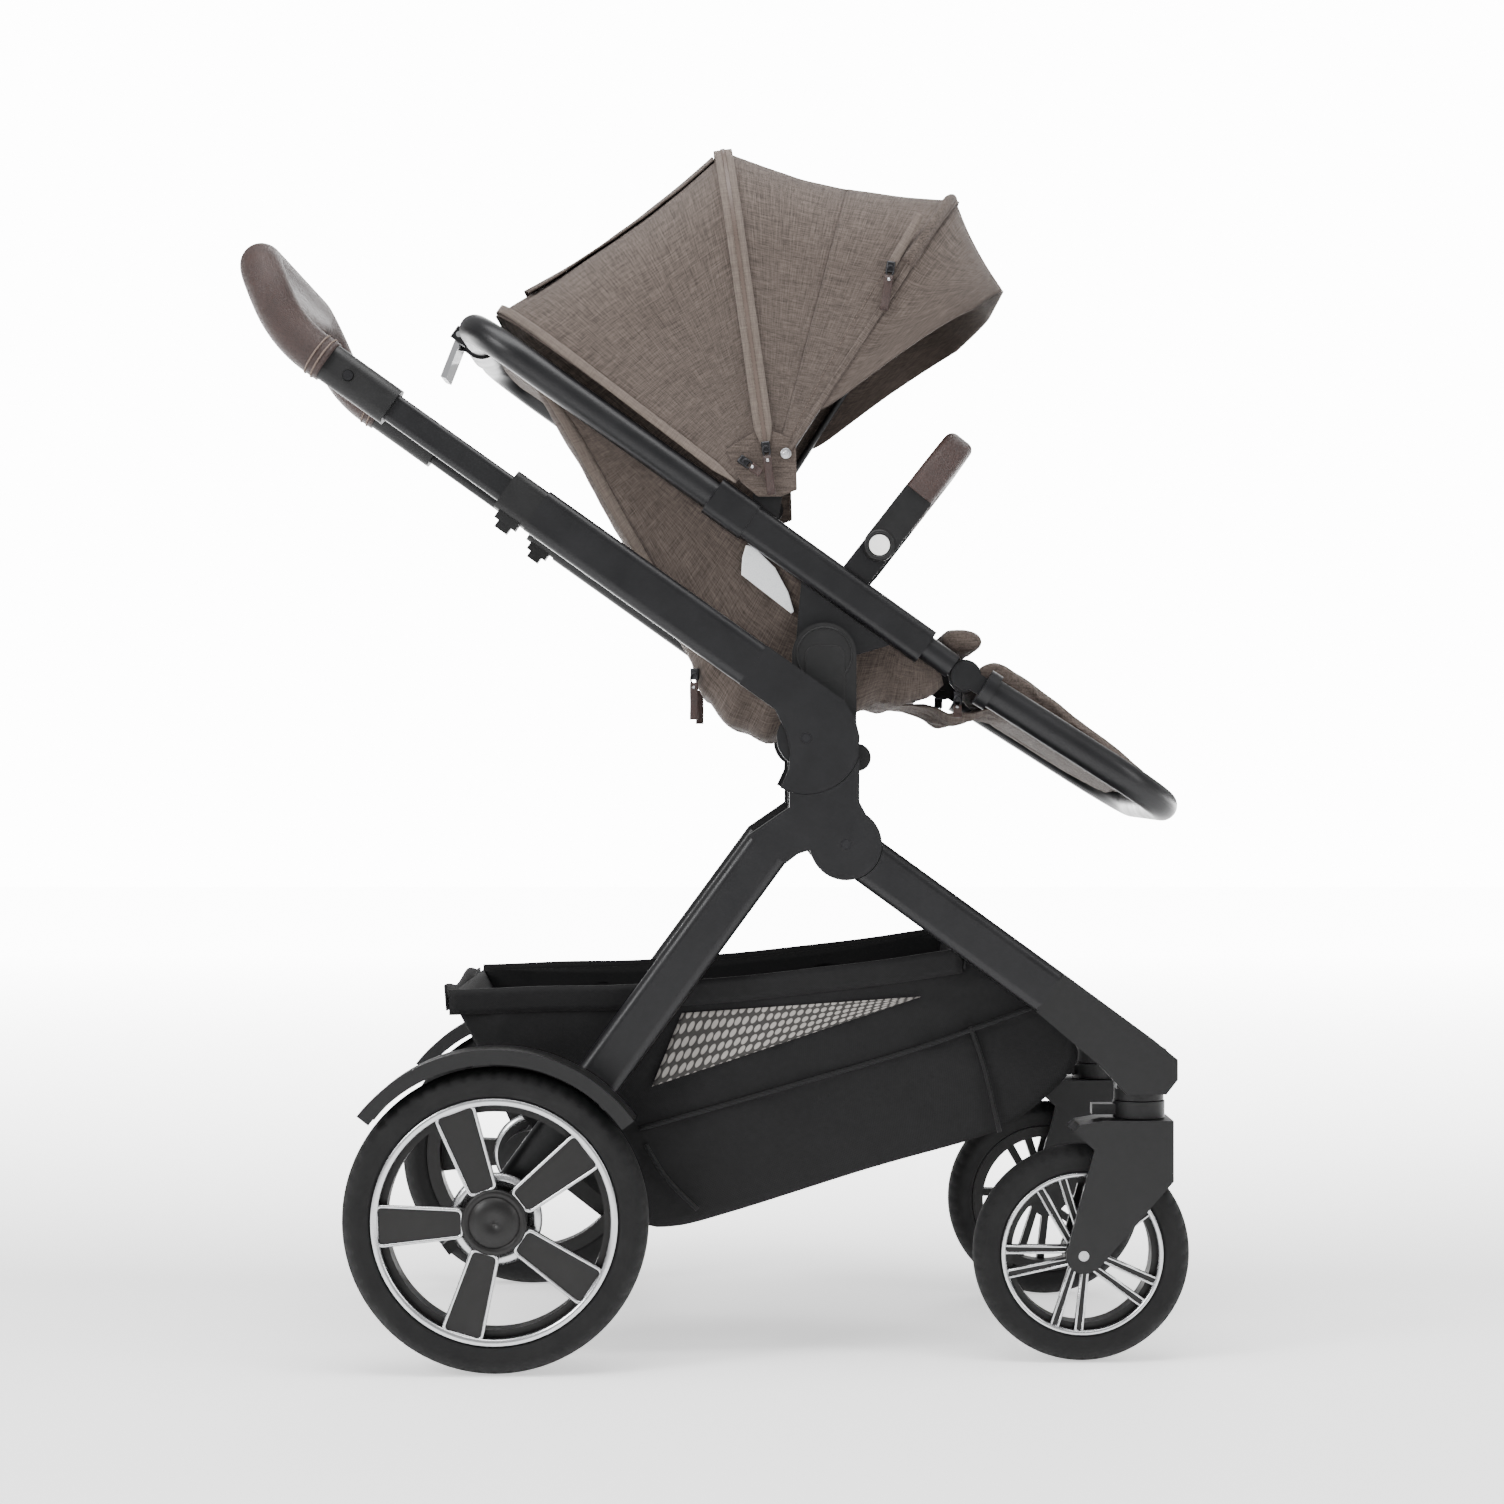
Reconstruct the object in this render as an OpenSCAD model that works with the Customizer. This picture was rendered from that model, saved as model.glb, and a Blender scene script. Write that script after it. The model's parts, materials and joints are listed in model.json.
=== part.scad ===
// Full-size pushchair: telescopic folding frame, swivel front wheels, reclining seat and folding hood.
// +X is forward, +Y is the child's left, +Z is up. The origin is on the floor under the middle.

/* [Wheels] */
// Radius of the rear tyres
rear_wheel_r = 145; // [130:1:160]
// Width of the rear tyres
rear_tyre_w = 46; // [36:1:50]
// Radius of the front tyres
front_wheel_r = 104.5; // [90:0.5:112]
// Width of the front tyres
front_tyre_w = 42; // [32:1:46]
// Distance of the rear axle behind the origin
rear_axle_back = 205.5; // [170:0.5:240]
// Distance of the front axles ahead of the origin
front_axle_ahead = 354.5; // [340:0.5:366]
// Radius of the fixed rear axle
axle_r = 8; // [6:0.5:10]
// Radius of each front wheel pin
pin_r = 5; // [4:0.5:6]
// Distance of each swivel axis ahead of its wheel's axle
trail = 56; // [50:1:60]

/* [Frame] */
// Half width between the side frames, at their centres
frame_y = 225; // [215:1:245]
// Width of the leg and handle tubes, seen from the side
tube_w = 45; // [38:0.5:48]
// Thickness of the leg and handle tubes across the stroller
tube_t = 28; // [24:0.5:30]
// Wall of the hollow tubes
tube_wall = 2.4; // [1.5:0.1:3]
// Height of the main fold pivot
fold_z = 600.5; // [585:0.5:620]
// Place of the main fold pivot along the stroller
fold_x = 88.5; // [80:0.5:95]
// Drop from the main fold pivot to the front leg pivot
leg_pivot_drop = 101.5; // [95:0.5:108]
// Slope of the handle tubes above level
handle_slope = 35.5; // [30:0.5:40]
// Slope of the front legs below level
front_leg_slope = 36; // [34:0.5:38]
// Length of the handle tubes from the elbow to the telescopic collar
sleeve_len = 254; // [210:1:300]
// Radius of the handle grip
grip_r = 21; // [17:0.5:21.5]

/* [Seat] */
// Half width between the seat rails, at their centres
seat_y = 190; // [170:1:192]
// Height of the recline hub
hub_z = 681; // [672:1:690]
// Distance of the recline hub ahead of the main fold pivot
hub_ahead = 18; // [14:1:20]
// Slope of the seat rails below level, forwards
seat_slope = 35.5; // [30:0.5:38]
// Radius of the seat's loop tubes
loop_r = 15; // [12:0.5:16]
// Length of the back loop from the rail to its crossbar
back_loop_len = 290; // [250:1:320]
// Length of the calf loop
calf_len = 236; // [200:1:245]
// Slope of the calf loop below level, forwards
calf_slope = 32.5; // [28:0.5:36]

/* [Hood] */
// Radius of the hood from its hinge to the top of the bows
hood_r = 338; // [300:1:350]
// Thickness of the hood's fabric panels
hood_t = 3; // [2:0.5:5]

/* [Basket] */
// Half width of the basket
basket_y = 200; // [170:1:202]
// Thickness of the basket's fabric walls
basket_t = 4; // [3:0.5:6]

/* [Fits] */
// Radial clearance of running shafts
run_gap = 0.05; // [0.02:0.01:0.1]
// Gap between pieces that move past each other
gap = 1; // [0.6:0.1:1.5]

/* [Hidden] */
$fn = 64;
// overlap that joins two halves of one piece
lap = 0.5;

satin_black = [0.09, 0.09, 0.10];
plastic_black = [0.06, 0.06, 0.07];
leather_brown = [0.23, 0.14, 0.11];
taupe = [0.40, 0.34, 0.30];
tyre_black = [0.08, 0.08, 0.08];
nylon_black = [0.10, 0.10, 0.11];

// points of the side view, as [x, z]
rear_axle_p = [-rear_axle_back, rear_wheel_r];
front_axle_p = [front_axle_ahead, front_wheel_r];
fold_p = [fold_x, fold_z];
leg_p = [fold_x + 38, fold_z - leg_pivot_drop];
hub_p = [fold_x + hub_ahead, hub_z];
swivel_x = front_axle_ahead + trail;

// the fold joint: the upper elbow's round heel turns in the lower elbow's cup
heel_r = 53.5;
leg_heel_r = 34.5;
tongue_t = 11;
slot_t = tongue_t + 2 * gap;
pivot_pin_r = 5;
column_w = 67;
column_x = fold_x + 17.5;

// handle tubes run at handle_slope, and pass just above the fold pivot
handle_a = 180 - handle_slope;
handle_rise = 27.7;
handle_p = fold_p + handle_rise * [sin(handle_slope), cos(handle_slope)];
sleeve_from = 82;
sleeve_to = sleeve_from + sleeve_len;
collar_len = 36;
inner_w = 28;
inner_t = 20;
inner_inside = 190;
block_from = sleeve_to + collar_len + 135;
block_len = 75;
block_w = 38;
block_t = 30;
grip_straight = 14;
grip_bend_r = 120;
grip_bend = 31;
grip_corner_r = 46;

// rear legs run from the lower elbow to the rear axle
leg_top_p = [fold_x - 37.8, fold_z - 106.7];
rear_leg_v = rear_axle_p - leg_top_p;
rear_leg_a = atan2(rear_leg_v[1], rear_leg_v[0]);
rear_leg_len = norm(rear_leg_v);
rear_boss_r = 30;
rear_wheel_y = frame_y + tube_t / 2 + 9 + rear_tyre_w / 2;
housing_r = 31;

// front legs and the swivel castings
front_leg_len = 241;
front_leg_end = leg_p + front_leg_len * [cos(front_leg_slope), -sin(front_leg_slope)];
front_wheel_y = frame_y - 25;
swivel_top = 252;
stem_r = 10;
housing_rise = 50;
swivel_housing_r = 24;
lock_h = 16;
fork_crown_z = swivel_top - lock_h - 2 * gap;
fork_gap = 3;
fork_plate_t = 8;
fork_half = front_tyre_w / 2 + fork_gap + fork_plate_t;

// rims
rear_rim_r = rear_wheel_r - 28;
front_rim_r = front_wheel_r - 26;
rear_hub_r = 29;
front_hub_r = 17;

// seat rails run at seat_slope, above the recline hub
rail_rise = 63.5;
rail_w = 36;
rail_t = 26;
rail_a = -seat_slope;
rail_p = hub_p + rail_rise * [sin(seat_slope), cos(seat_slope)];
rail_back = -134.5;
rail_front = 76;
mount_len = 43;
post_t = 20;
post_w = 62;
post_y = frame_y - tube_t / 2 - 1.5 - post_t / 2;
web_t = 10;
web_y = post_y - post_t / 2 - gap - web_t / 2;
calf_d = rail_front + 47;
calf_p = rail_p + calf_d * [cos(rail_a), sin(rail_a)];
loop_corner_r = 62;
calf_corner_r = 70;
cuff_r = 19;

// bumper bar
bumper_p = hub_p + [53.5, 106.5];
bumper_a = 52;
bumper_len = 128;
bumper_w = 31;
bumper_t = 20;
bumper_corner_r = 60;

// hood: bows are U shapes that turn about one hinge line
hood_p = hub_p + [-52, 170];
hood_y = seat_y + 7;
hood_corner_r = 105;
rear_bow_a = 146;
mid_bow_a = 98;
front_bow_a = 57;
visor_a = 40;
bow_r = 3.5;

carry_p = [column_x + column_w / 2 - 1.5, fold_z - 18.5];
carry_r = 10.5;

// seat fabric, in the side view
shell_y = seat_y - loop_r - 0.3;
shell_t = 5;
back_top = rail_p - 405 * [cos(rail_a), sin(rail_a)];
back_low = hub_p + [-122, -27];
pan_low = hub_p + [-58, -82];
pan_front = hub_p + [118, -30];

// basket, in the side view: rim, then floor
basket_line = [[-256, 352], [-62, 128], [281, 224], [362, 298], [240, 392]];
// middle of the seat pan, below the hub
pan_mid = hub_p + [34, -53];
seat_line = [back_top, back_low, pan_low, pan_mid, pan_front];
pad_t = 24;
// foot of the seat post, below the fold joint
post_foot = 85;
foot_h = 28;
// recline lever, behind the crossbar of the back loop
lever_out = 24;
// plane of the bumper bar's arms
arm_y = seat_y + 3;
// where the hood's cloth starts, out from the hinge
foot_reach = 26;
// the flat arms of the bows, narrow enough to pass each other when folded
bow_arm_w = 6;
bow_arm_len = 32;

module at(p, y = 0) {
    translate([p[0], y, p[1]]) children();
}

// places children with their local +X at angle a in the side view
module aim(p, a, y = 0) {
    translate([p[0], y, p[1]]) rotate([0, -a, 0]) children();
}

// an outline in the side view, given thickness t about y
module slab(t, y = 0) {
    translate([0, y + t / 2, 0]) rotate([90, 0, 0]) linear_extrude(t) children();
}

// a round bar across the stroller, centred on y
module cross(r, len, y = 0) {
    translate([0, y, 0]) rotate([90, 0, 0]) cylinder(r = r, h = len, center = true);
}

module rounded(w, h, r) {
    square([w - 2 * r, h], center = true);
    square([w, h - 2 * r], center = true);
    for (x = [-1, 1], y = [-1, 1]) translate([x * (w / 2 - r), y * (h / 2 - r)]) circle(r);
}

// a bar with rounded edges along local +X: t across the stroller, w in the side view
module bar(len, w, t, r) {
    rotate([90, 0, 90]) linear_extrude(len) rounded(t, w, r);
}

module left() {
    mirror([0, 1, 0]) children();
}

module both() {
    children();
    left() children();
}

function arc(c, r, from, to, steps) =
    [for (i = [0:steps]) let (a = from + (to - from) * i / steps) c + r * [cos(a), sin(a)]];

// ---- side frames ----

// the part of the lower elbow that is seen: column, rear socket and front heel
module elbow_lower_outline() {
    top = fold_z - 20;
    difference() {
        union() {
            polygon([
                [column_x - column_w / 2, top],
                [column_x - column_w / 2, fold_z - 66],
                leg_top_p + tube_w / 2 * [sin(rear_leg_a), -cos(rear_leg_a)],
                leg_top_p - tube_w / 2 * [sin(rear_leg_a), -cos(rear_leg_a)],
                [fold_x - 8, fold_z - 111],
                [fold_x + 4, fold_z - 107],
                [fold_x + 14, fold_z - 113],
                leg_p + leg_heel_r * [-0.62, -0.78],
                leg_p,
                leg_p + leg_heel_r * [0.95, 0.3],
                [column_x + column_w / 2 + 8, fold_z - 76],
                [column_x + column_w / 2, fold_z - 61],
                [column_x + column_w / 2, top]
            ]);
            translate(leg_p) circle(leg_heel_r);
        }
        translate(fold_p) circle(heel_r + 0.4);
    }
}

module elbow_lower() {
    color(satin_black) difference() {
        union() {
            slab(tube_t, -frame_y) elbow_lower_outline();
            // tongue that the upper elbow turns on
            slab(tongue_t, -frame_y) union() {
                translate(fold_p) circle(28);
                translate([fold_x - 12, fold_z - 58]) square([44, 58]);
            }
        }
        at(fold_p, -frame_y) cross(pivot_pin_r + run_gap, 60);
        at(leg_p, -frame_y) cross(pivot_pin_r + run_gap, 60);
        // slot for the front leg's tongue
        at(leg_p, -frame_y) rotate([90, 0, 0])
            cylinder(r = leg_heel_r + 4, h = slot_t, center = true);
    }
}

module elbow_lower_right() { elbow_lower(); }
module elbow_lower_left() { left() elbow_lower(); }

module elbow_upper() {
    tube_end = handle_p + sleeve_from * [cos(handle_a), sin(handle_a)];
    up = tube_w / 2 * [sin(handle_slope), cos(handle_slope)];
    color(satin_black) difference() {
        slab(tube_t, -frame_y) polygon(concat(
            arc(fold_p, heel_r, 242.7, 337, 16),
            [fold_p + [51.3, 1.5], fold_p + [47.2, 18.1], fold_p + [36.5, 35.7]],
            [tube_end + up, tube_end - up],
            [fold_p + [-29.6, 27.5], fold_p + [-18.6, 4.5], fold_p + [-15.3, -11.5], fold_p + [-16.6, -30.5]]
        ));
        // slot that the lower elbow's tongue fills
        at(fold_p, -frame_y) rotate([90, 0, 0]) cylinder(r = heel_r + 1, h = slot_t, center = true);
        at(fold_p, -frame_y) cross(pivot_pin_r + run_gap, 60);
    }
}

module elbow_upper_right() { elbow_upper(); }
module elbow_upper_left() { left() elbow_upper(); }

module pivot_screws() {
    color(plastic_black) both() for (p = [fold_p, leg_p]) at(p, -frame_y) {
        cross(pivot_pin_r, tube_t - 2);
        translate([0, -tube_t / 2 + 0.4, 0]) cross(4.4, 1.6);
    }
}

module rear_leg() {
    color(satin_black) difference() {
        union() {
            aim(leg_top_p, rear_leg_a, -frame_y) bar(rear_leg_len, tube_w, tube_t, 9);
            at(rear_axle_p, -frame_y) cross(rear_boss_r, tube_t);
        }
        at(rear_axle_p, -frame_y) cross(axle_r + run_gap, 60);
        }
}

module rear_leg_right() { rear_leg(); }
module rear_leg_left() { left() rear_leg(); }

module rear_axle() {
    hub_end = rear_wheel_y + rear_tyre_w / 2 - 8;
    color("silver") at(rear_axle_p) {
        cross(axle_r, 2 * hub_end);
        cross(12, 2 * (frame_y - tube_t / 2 - 12));
    }
}

module brake_housings() {
    inner = frame_y + tube_t / 2;
    color(plastic_black) both() difference() {
        union() {
            at(rear_axle_p, -inner - 3) cross(38, 6);
            at(rear_axle_p, -frame_y + tube_t / 2 + 6) cross(housing_r, 12);
        }
        at(rear_axle_p, -inner) cross(axle_r + run_gap, 120);
    }
}

module fender() {
    inner_r = rear_wheel_r + 4;
    outer_r = inner_r + 14;
    width = rear_tyre_w + 6;
    skin = 4;
    color(plastic_black) {
        at(rear_axle_p, -rear_wheel_y) rotate([90, 0, 0]) rotate([0, 0, 36])
            rotate_extrude(angle = 106) translate([inner_r, -width / 2]) difference() {
                square([outer_r - inner_r, width]);
                translate([-1, skin]) square([outer_r - inner_r - skin + 1, width - 2 * skin]);
            }
        // stay that carries the fender on the leg
        difference() {
            aim(rear_axle_p, rear_leg_a + 180, -frame_y - tube_t / 2 - 3)
                translate([inner_r - 2, -3.5, -14]) cube([outer_r - inner_r - 2, 6.5, 28]);
            at(rear_axle_p, -rear_wheel_y) cross(inner_r, rear_tyre_w + 4);
        }
    }
}

module rear_fenders() { both() fender(); }

module seat_posts() {
    color(plastic_black) both() {
        slab(post_t, -post_y) union() {
            translate(hub_p) circle(post_w / 2);
            translate([hub_p[0] - post_w / 2, fold_z - post_foot])
                square([post_w, hub_z - fold_z + post_foot]);
            translate(carry_p) circle(carry_r + 3);
        }
        // foot that is bolted to the lower elbow
        translate([hub_p[0] - 25, -frame_y + tube_t / 2, fold_z - post_foot])
            cube([50, 2, foot_h]);
        // recline pivot
        at(hub_p, -post_y + post_t / 2 + web_t / 2) cross(11, web_t + 2 * gap);
    }
}

module carry_bar() {
    color(leather_brown) at(carry_p) cross(carry_r, 2 * (post_y - post_t / 2));
}

module basket() {
    rim_back = basket_line[0];
    rim_front = basket_line[len(basket_line) - 1];
    color(nylon_black) difference() {
        slab(2 * basket_y) polygon(basket_line);
        slab(2 * (basket_y - basket_t)) polygon(concat(
            shifted(basket_line, basket_t), [rim_front + [-8, 60], rim_back + [8, 60]]
        ));
    }
}

// ---- handle ----

module sleeve() {
    color(satin_black) aim(handle_p, handle_a, -frame_y) translate([sleeve_from, 0, 0])
        difference() {
            bar(sleeve_len, tube_w, tube_t, 9);
            translate([-1, 0, 0])
                bar(sleeve_len + 2, tube_w - 2 * tube_wall, tube_t - 2 * tube_wall, 7);
        }
}

module sleeve_right() { sleeve(); }
module sleeve_left() { left() sleeve(); }

module tube_collars() {
    button_x = sleeve_to + 18;
    color(plastic_black) both() aim(handle_p, handle_a, -frame_y) difference() {
        translate([sleeve_to, 0, 0]) union() {
            bar(collar_len, tube_w - 3, tube_t - 1, 8);
            // housing of the fold button, on the underside
            translate([6, -9, tube_w / 2 - 6]) cube([24, 18, 12]);
        }
        translate([sleeve_to - 1, 0, 0])
            bar(collar_len + 2, inner_w + 0.6, inner_t + 0.6, 6.3);
        translate([button_x - 7.5, -6.5, tube_w / 2 - 1]) cube([15, 13, 12]);
    }
}

module fold_button() {
    color(plastic_black) aim(handle_p, handle_a, -frame_y)
        translate([sleeve_to + 18 - 7, -6, tube_w / 2 - 0.7 + 2]) cube([14, 12, 12]);
}

module fold_button_right() { fold_button(); }
module fold_button_left() { left() fold_button(); }

module handle_tubes() {
    color(satin_black) both() aim(handle_p, handle_a, -frame_y)
        translate([sleeve_to - inner_inside + 60, 0, 0])
            bar(block_from - sleeve_to + inner_inside - 60, inner_w, inner_t, 6);
}

module handle_blocks() {
    button_x = block_from + 50;
    color(plastic_black) both() aim(handle_p, handle_a, -frame_y) difference() {
        translate([block_from, 0, 0]) bar(block_len, block_w, block_t, 12);
        translate([button_x, -block_t / 2, 0]) cross(5.5, 14);
    }
}

module handle_button() {
    color("silver") aim(handle_p, handle_a, -frame_y)
        translate([block_from + 50, -block_t / 2 + 1.2, 0]) cross(5, 5);
}

module handle_button_right() { handle_button(); }
module handle_button_left() { left() handle_button(); }

function dir(a) = [cos(a), sin(a)];
function lifted(q, y) = [q[0], y, q[1]];

// one half of the grip's centre line: a short straight, a bend upwards, then the corner
function grip_half() =
    let (s0 = handle_p + (block_from + block_len) * dir(handle_a),
         s1 = s0 + grip_straight * dir(handle_a),
         c = s1 + grip_bend_r * dir(handle_a - 90),
         b = handle_a - grip_bend,
         e = c + grip_bend_r * dir(b + 90))
    concat(
        [lifted(s0, -frame_y)],
        [for (i = [0:5]) lifted(c + grip_bend_r * dir(handle_a + 90 - grip_bend * i / 5), -frame_y)],
        [for (i = [1:6]) lifted(e + grip_corner_r * sin(15 * i) * dir(b),
                                -frame_y + grip_corner_r * (1 - cos(15 * i)))]
    );
function mirrored(path) = [for (i = [len(path) - 1:-1:0]) [path[i][0], -path[i][1], path[i][2]]];

// a round tube swept along a path; ref is never parallel to the path
module sweep(path, r, ref, sides = 24) {
    n = len(path);
    function tangent(i) = unit(path[min(i + 1, n - 1)] - path[max(i - 1, 0)]);
    points = [for (i = [0:n - 1])
        let (t = tangent(i), u = unit(cross(ref, t)), v = cross(t, u))
        each [for (k = [0:sides - 1]) let (a = 360 * k / sides) path[i] + r * (u * cos(a) + v * sin(a))]];
    polyhedron(points, concat(
        [for (i = [0:n - 2], k = [0:sides - 1]) let (m = (k + 1) % sides)
            [i * sides + k, (i + 1) * sides + k, (i + 1) * sides + m, i * sides + m]],
        [[for (k = [0:sides - 1]) k]],
        [[for (k = [sides - 1:-1:0]) (n - 1) * sides + k]]
    ));
}

module handle_grip() {
    half = grip_half();
    end_a = handle_a - grip_bend + 90;
    color(leather_brown) sweep(concat(half, mirrored(half)), grip_r, [cos(end_a), 0, sin(end_a)]);
}

// ---- front frame ----

module front_leg() {
    color(satin_black) difference() {
        union() {
            difference() {
                aim(leg_p, -front_leg_slope, -frame_y) bar(front_leg_len, tube_w, tube_t, 9);
                at(leg_p, -frame_y) cross(leg_heel_r + 0.6, 60);
            }
            slab(tongue_t, -frame_y) union() {
                translate(leg_p) circle(22);
                translate(leg_p) rotate(-front_leg_slope) translate([0, -16]) square([60, 32]);
            }
        }
        at(leg_p, -frame_y) cross(pivot_pin_r + run_gap, 60);
    }
}

module front_leg_right() { front_leg(); }
module front_leg_left() { left() front_leg(); }

module front_casting() {
    color(plastic_black) difference() {
        union() {
            slab(tube_t, -frame_y) polygon([
                front_leg_end + tube_w / 2 * [sin(front_leg_slope), cos(front_leg_slope)],
                [swivel_x + 10, front_leg_end[1] - 45],
                [swivel_x + 33, front_leg_end[1] - 64],
                [swivel_x + 33, swivel_top + 22],
                [swivel_x + 22, swivel_top + 8],
                [swivel_x - 16, swivel_top + 8],
                [swivel_x - 40, swivel_top + 34],
                front_leg_end - tube_w / 2 * [sin(front_leg_slope), cos(front_leg_slope)]
            ]);
            translate([swivel_x, -front_wheel_y, swivel_top])
                cylinder(r = swivel_housing_r, h = housing_rise);
            translate([swivel_x - swivel_housing_r, -frame_y, swivel_top + 12])
                cube([2 * swivel_housing_r, frame_y - front_wheel_y, housing_rise - 12]);
        }
        translate([swivel_x, -front_wheel_y, swivel_top - 1])
            cylinder(r = stem_r + run_gap, h = housing_rise - 4);
    }
}

module front_castings() { both() front_casting(); }

// ribbed step between the front legs
module footplate() {
    step_d = front_leg_len - 78;
    step_len = 92;
    half = frame_y - tube_t / 2;
    color(plastic_black) aim(leg_p, -front_leg_slope) {
        translate([step_d, -half, -4]) cube([step_len, 2 * half, 12]);
        for (i = [0:8]) translate([step_d + 6 + i * 9.5, -half + 30, 8])
            cube([4, 2 * half - 60, 3.5]);
        translate([step_d + 10, 0, -8]) cross(12, 2 * half);
    }
}

module fork() {
    y = -front_wheel_y;
    color(plastic_black) {
        translate([swivel_x, y, fork_crown_z - 6]) cylinder(r = stem_r, h = swivel_top + 44 - fork_crown_z);
        difference() {
            slab(2 * fork_half, y) union() {
                polygon([
                    [swivel_x - 37, fork_crown_z],
                    [swivel_x + 30, fork_crown_z],
                    [swivel_x + 30, fork_crown_z - 58],
                    front_axle_p + [14, -12],
                    front_axle_p + [-14, 12],
                    [swivel_x - 46, fork_crown_z - 28],
                    [swivel_x - 66, fork_crown_z - 10],
                    [swivel_x - 60, fork_crown_z - 4]
                ]);
                translate(front_axle_p) circle(17);
            }
            slab(front_tyre_w + 2 * fork_gap, y) translate(front_axle_p)
                circle(front_wheel_r + fork_gap);
            at(front_axle_p, y) cross(pin_r + run_gap, 100);
        }
    }
}

module fork_right() { fork(); }
module fork_left() { left() fork(); }

module swivel_lock() {
    color(plastic_black) translate([swivel_x, -front_wheel_y, swivel_top - lock_h - gap]) difference() {
        union() {
            cylinder(r = 25, h = lock_h);
            translate([-46, -9, 3]) cube([40, 18, lock_h - 6]);
        }
        translate([0, 0, -1]) cylinder(r = stem_r + gap, h = lock_h + 2);
    }
}

module swivel_lock_right() { swivel_lock(); }
module swivel_lock_left() { left() swivel_lock(); }

module front_pin() {
    color("silver") at(front_axle_p, -front_wheel_y) cross(pin_r, 2 * fork_half - 2);
}

module front_pin_right() { front_pin(); }
module front_pin_left() { left() front_pin(); }

// ---- wheels ----

module tyre(r, w, rim_r) {
    bulge = w / 2;
    rotate([90, 0, 0]) rotate_extrude($fn = 96) difference() {
        intersection() {
            translate([rim_r, -w / 2]) square([r - rim_r, w]);
            translate([r - bulge * 1.35, 0]) scale(1.35) circle(bulge);
        }
        for (y = [-1, 0, 1]) translate([r - 2, y * w / 5 - 1]) square([4, 2]);
    }
}

module rear_tyre() {
    color(tyre_black) at(rear_axle_p, -rear_wheel_y) tyre(rear_wheel_r, rear_tyre_w, rear_rim_r);
}

module rear_tyre_right() { rear_tyre(); }
module rear_tyre_left() { left() rear_tyre(); }

module front_tyre() {
    color(tyre_black) at(front_axle_p, -front_wheel_y)
        tyre(front_wheel_r, front_tyre_w, front_rim_r);
}

module front_tyre_right() { front_tyre(); }
module front_tyre_left() { left() front_tyre(); }

module rear_rim() {
    depth = rear_tyre_w - 8;
    face = depth / 2;
    color(plastic_black) at(rear_axle_p, -rear_wheel_y) difference() {
        union() {
            rotate([90, 0, 0]) rotate_extrude($fn = 96) union() {
                translate([rear_rim_r - 6.5, -face]) square([6.5, depth]);
                translate([rear_rim_r - 14, -face]) square([14, depth - 12]);
            }
            cross(rear_hub_r, depth);
            rotate([90, 0, 0]) for (i = [0:4]) rotate([0, 0, 38 + 72 * i])
                translate([0, 0, face - 14]) linear_extrude(12)
                    polygon([[18, -12.5], [rear_rim_r - 5, -19], [rear_rim_r - 5, 19], [18, 12.5]]);
        }
        // blind bore: the outer face of the hub is closed by its cap
        translate([0, 3, 0]) cross(axle_r + run_gap, depth);
    }
}

module rear_rim_right() { rear_rim(); }
module rear_rim_left() { left() rear_rim(); }

module front_rim() {
    depth = front_tyre_w - 6;
    face = depth / 2;
    color(plastic_black) at(front_axle_p, -front_wheel_y) difference() {
        union() {
            rotate([90, 0, 0]) rotate_extrude($fn = 96) union() {
                translate([front_rim_r - 4, -face]) square([4, depth]);
                translate([front_rim_r - 11, -face]) square([11, depth - 10]);
            }
            cross(front_hub_r, depth);
            rotate([90, 0, 0]) for (i = [0:4], s = [-1, 1]) rotate([0, 0, 42 + 72 * i])
                translate([0, 0, face - 13]) linear_extrude(10)
                    polygon([[8, s * 2], [front_rim_r - 3, s * 8], [front_rim_r - 3, s * 16], [8, s * 9]]);
        }
        cross(pin_r + run_gap, depth + 2);
    }
}

module front_rim_right() { front_rim(); }
module front_rim_left() { left() front_rim(); }

// foot pedal that turns on the rear crossbar
module brake_pedal() {
    color(plastic_black) difference() {
        union() {
            at(rear_axle_p, -frame_y + 62) cross(22, 40);
            aim(rear_axle_p, 217, -frame_y + 62) translate([14, -18, -6]) cube([56, 36, 12]);
        }
        at(rear_axle_p) cross(12 + run_gap, 2 * frame_y);
    }
}

// ---- seat ----

module seat_rail() {
    color(satin_black) difference() {
        union() {
            aim(rail_p, rail_a, -seat_y) {
                translate([rail_back, 0, 0]) bar(rail_front - rail_back, rail_w, rail_t, 9);
                translate([rail_back - mount_len, 0, 0]) bar(mount_len + 1, rail_w + 3, rail_t + 1, 9);
                translate([rail_front - 1, 0, 0])
                    rotate([0, 90, 0]) cylinder(r = rail_t / 2 - 0.6, h = calf_d - rail_front - 14);
            }
            // web that carries the rail on the recline hub
            slab(web_t, -web_y) polygon([
                hub_p + [-27, 14], hub_p + [-30, 0], hub_p + [-20, -22], hub_p + [0, -30],
                hub_p + [20, -22], hub_p + [30, 0],
                rail_p + 60 * [cos(rail_a), sin(rail_a)],
                rail_p - 70 * [cos(rail_a), sin(rail_a)]
            ]);
            // calf hinge boss
            at(calf_p, -seat_y + 8) cross(16, 8);
            aim(rail_p, rail_a, -seat_y) translate([calf_d - 24, 4.8, -9]) cube([22, 6.4, 18]);
            bumper_ear();
            hood_ear();
            at(hood_p, -hood_y + hood_t + 10) cross(5, 14);
        }
        at(hub_p, -web_y) cross(11 + run_gap, 40);
        at(calf_p, -seat_y) cross(6 + run_gap, 60);
        at(bumper_p, -seat_y) cross(6 + run_gap, 60);
    }
}

module seat_rail_right() { seat_rail(); }
module seat_rail_left() { left() seat_rail(); }

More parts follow.
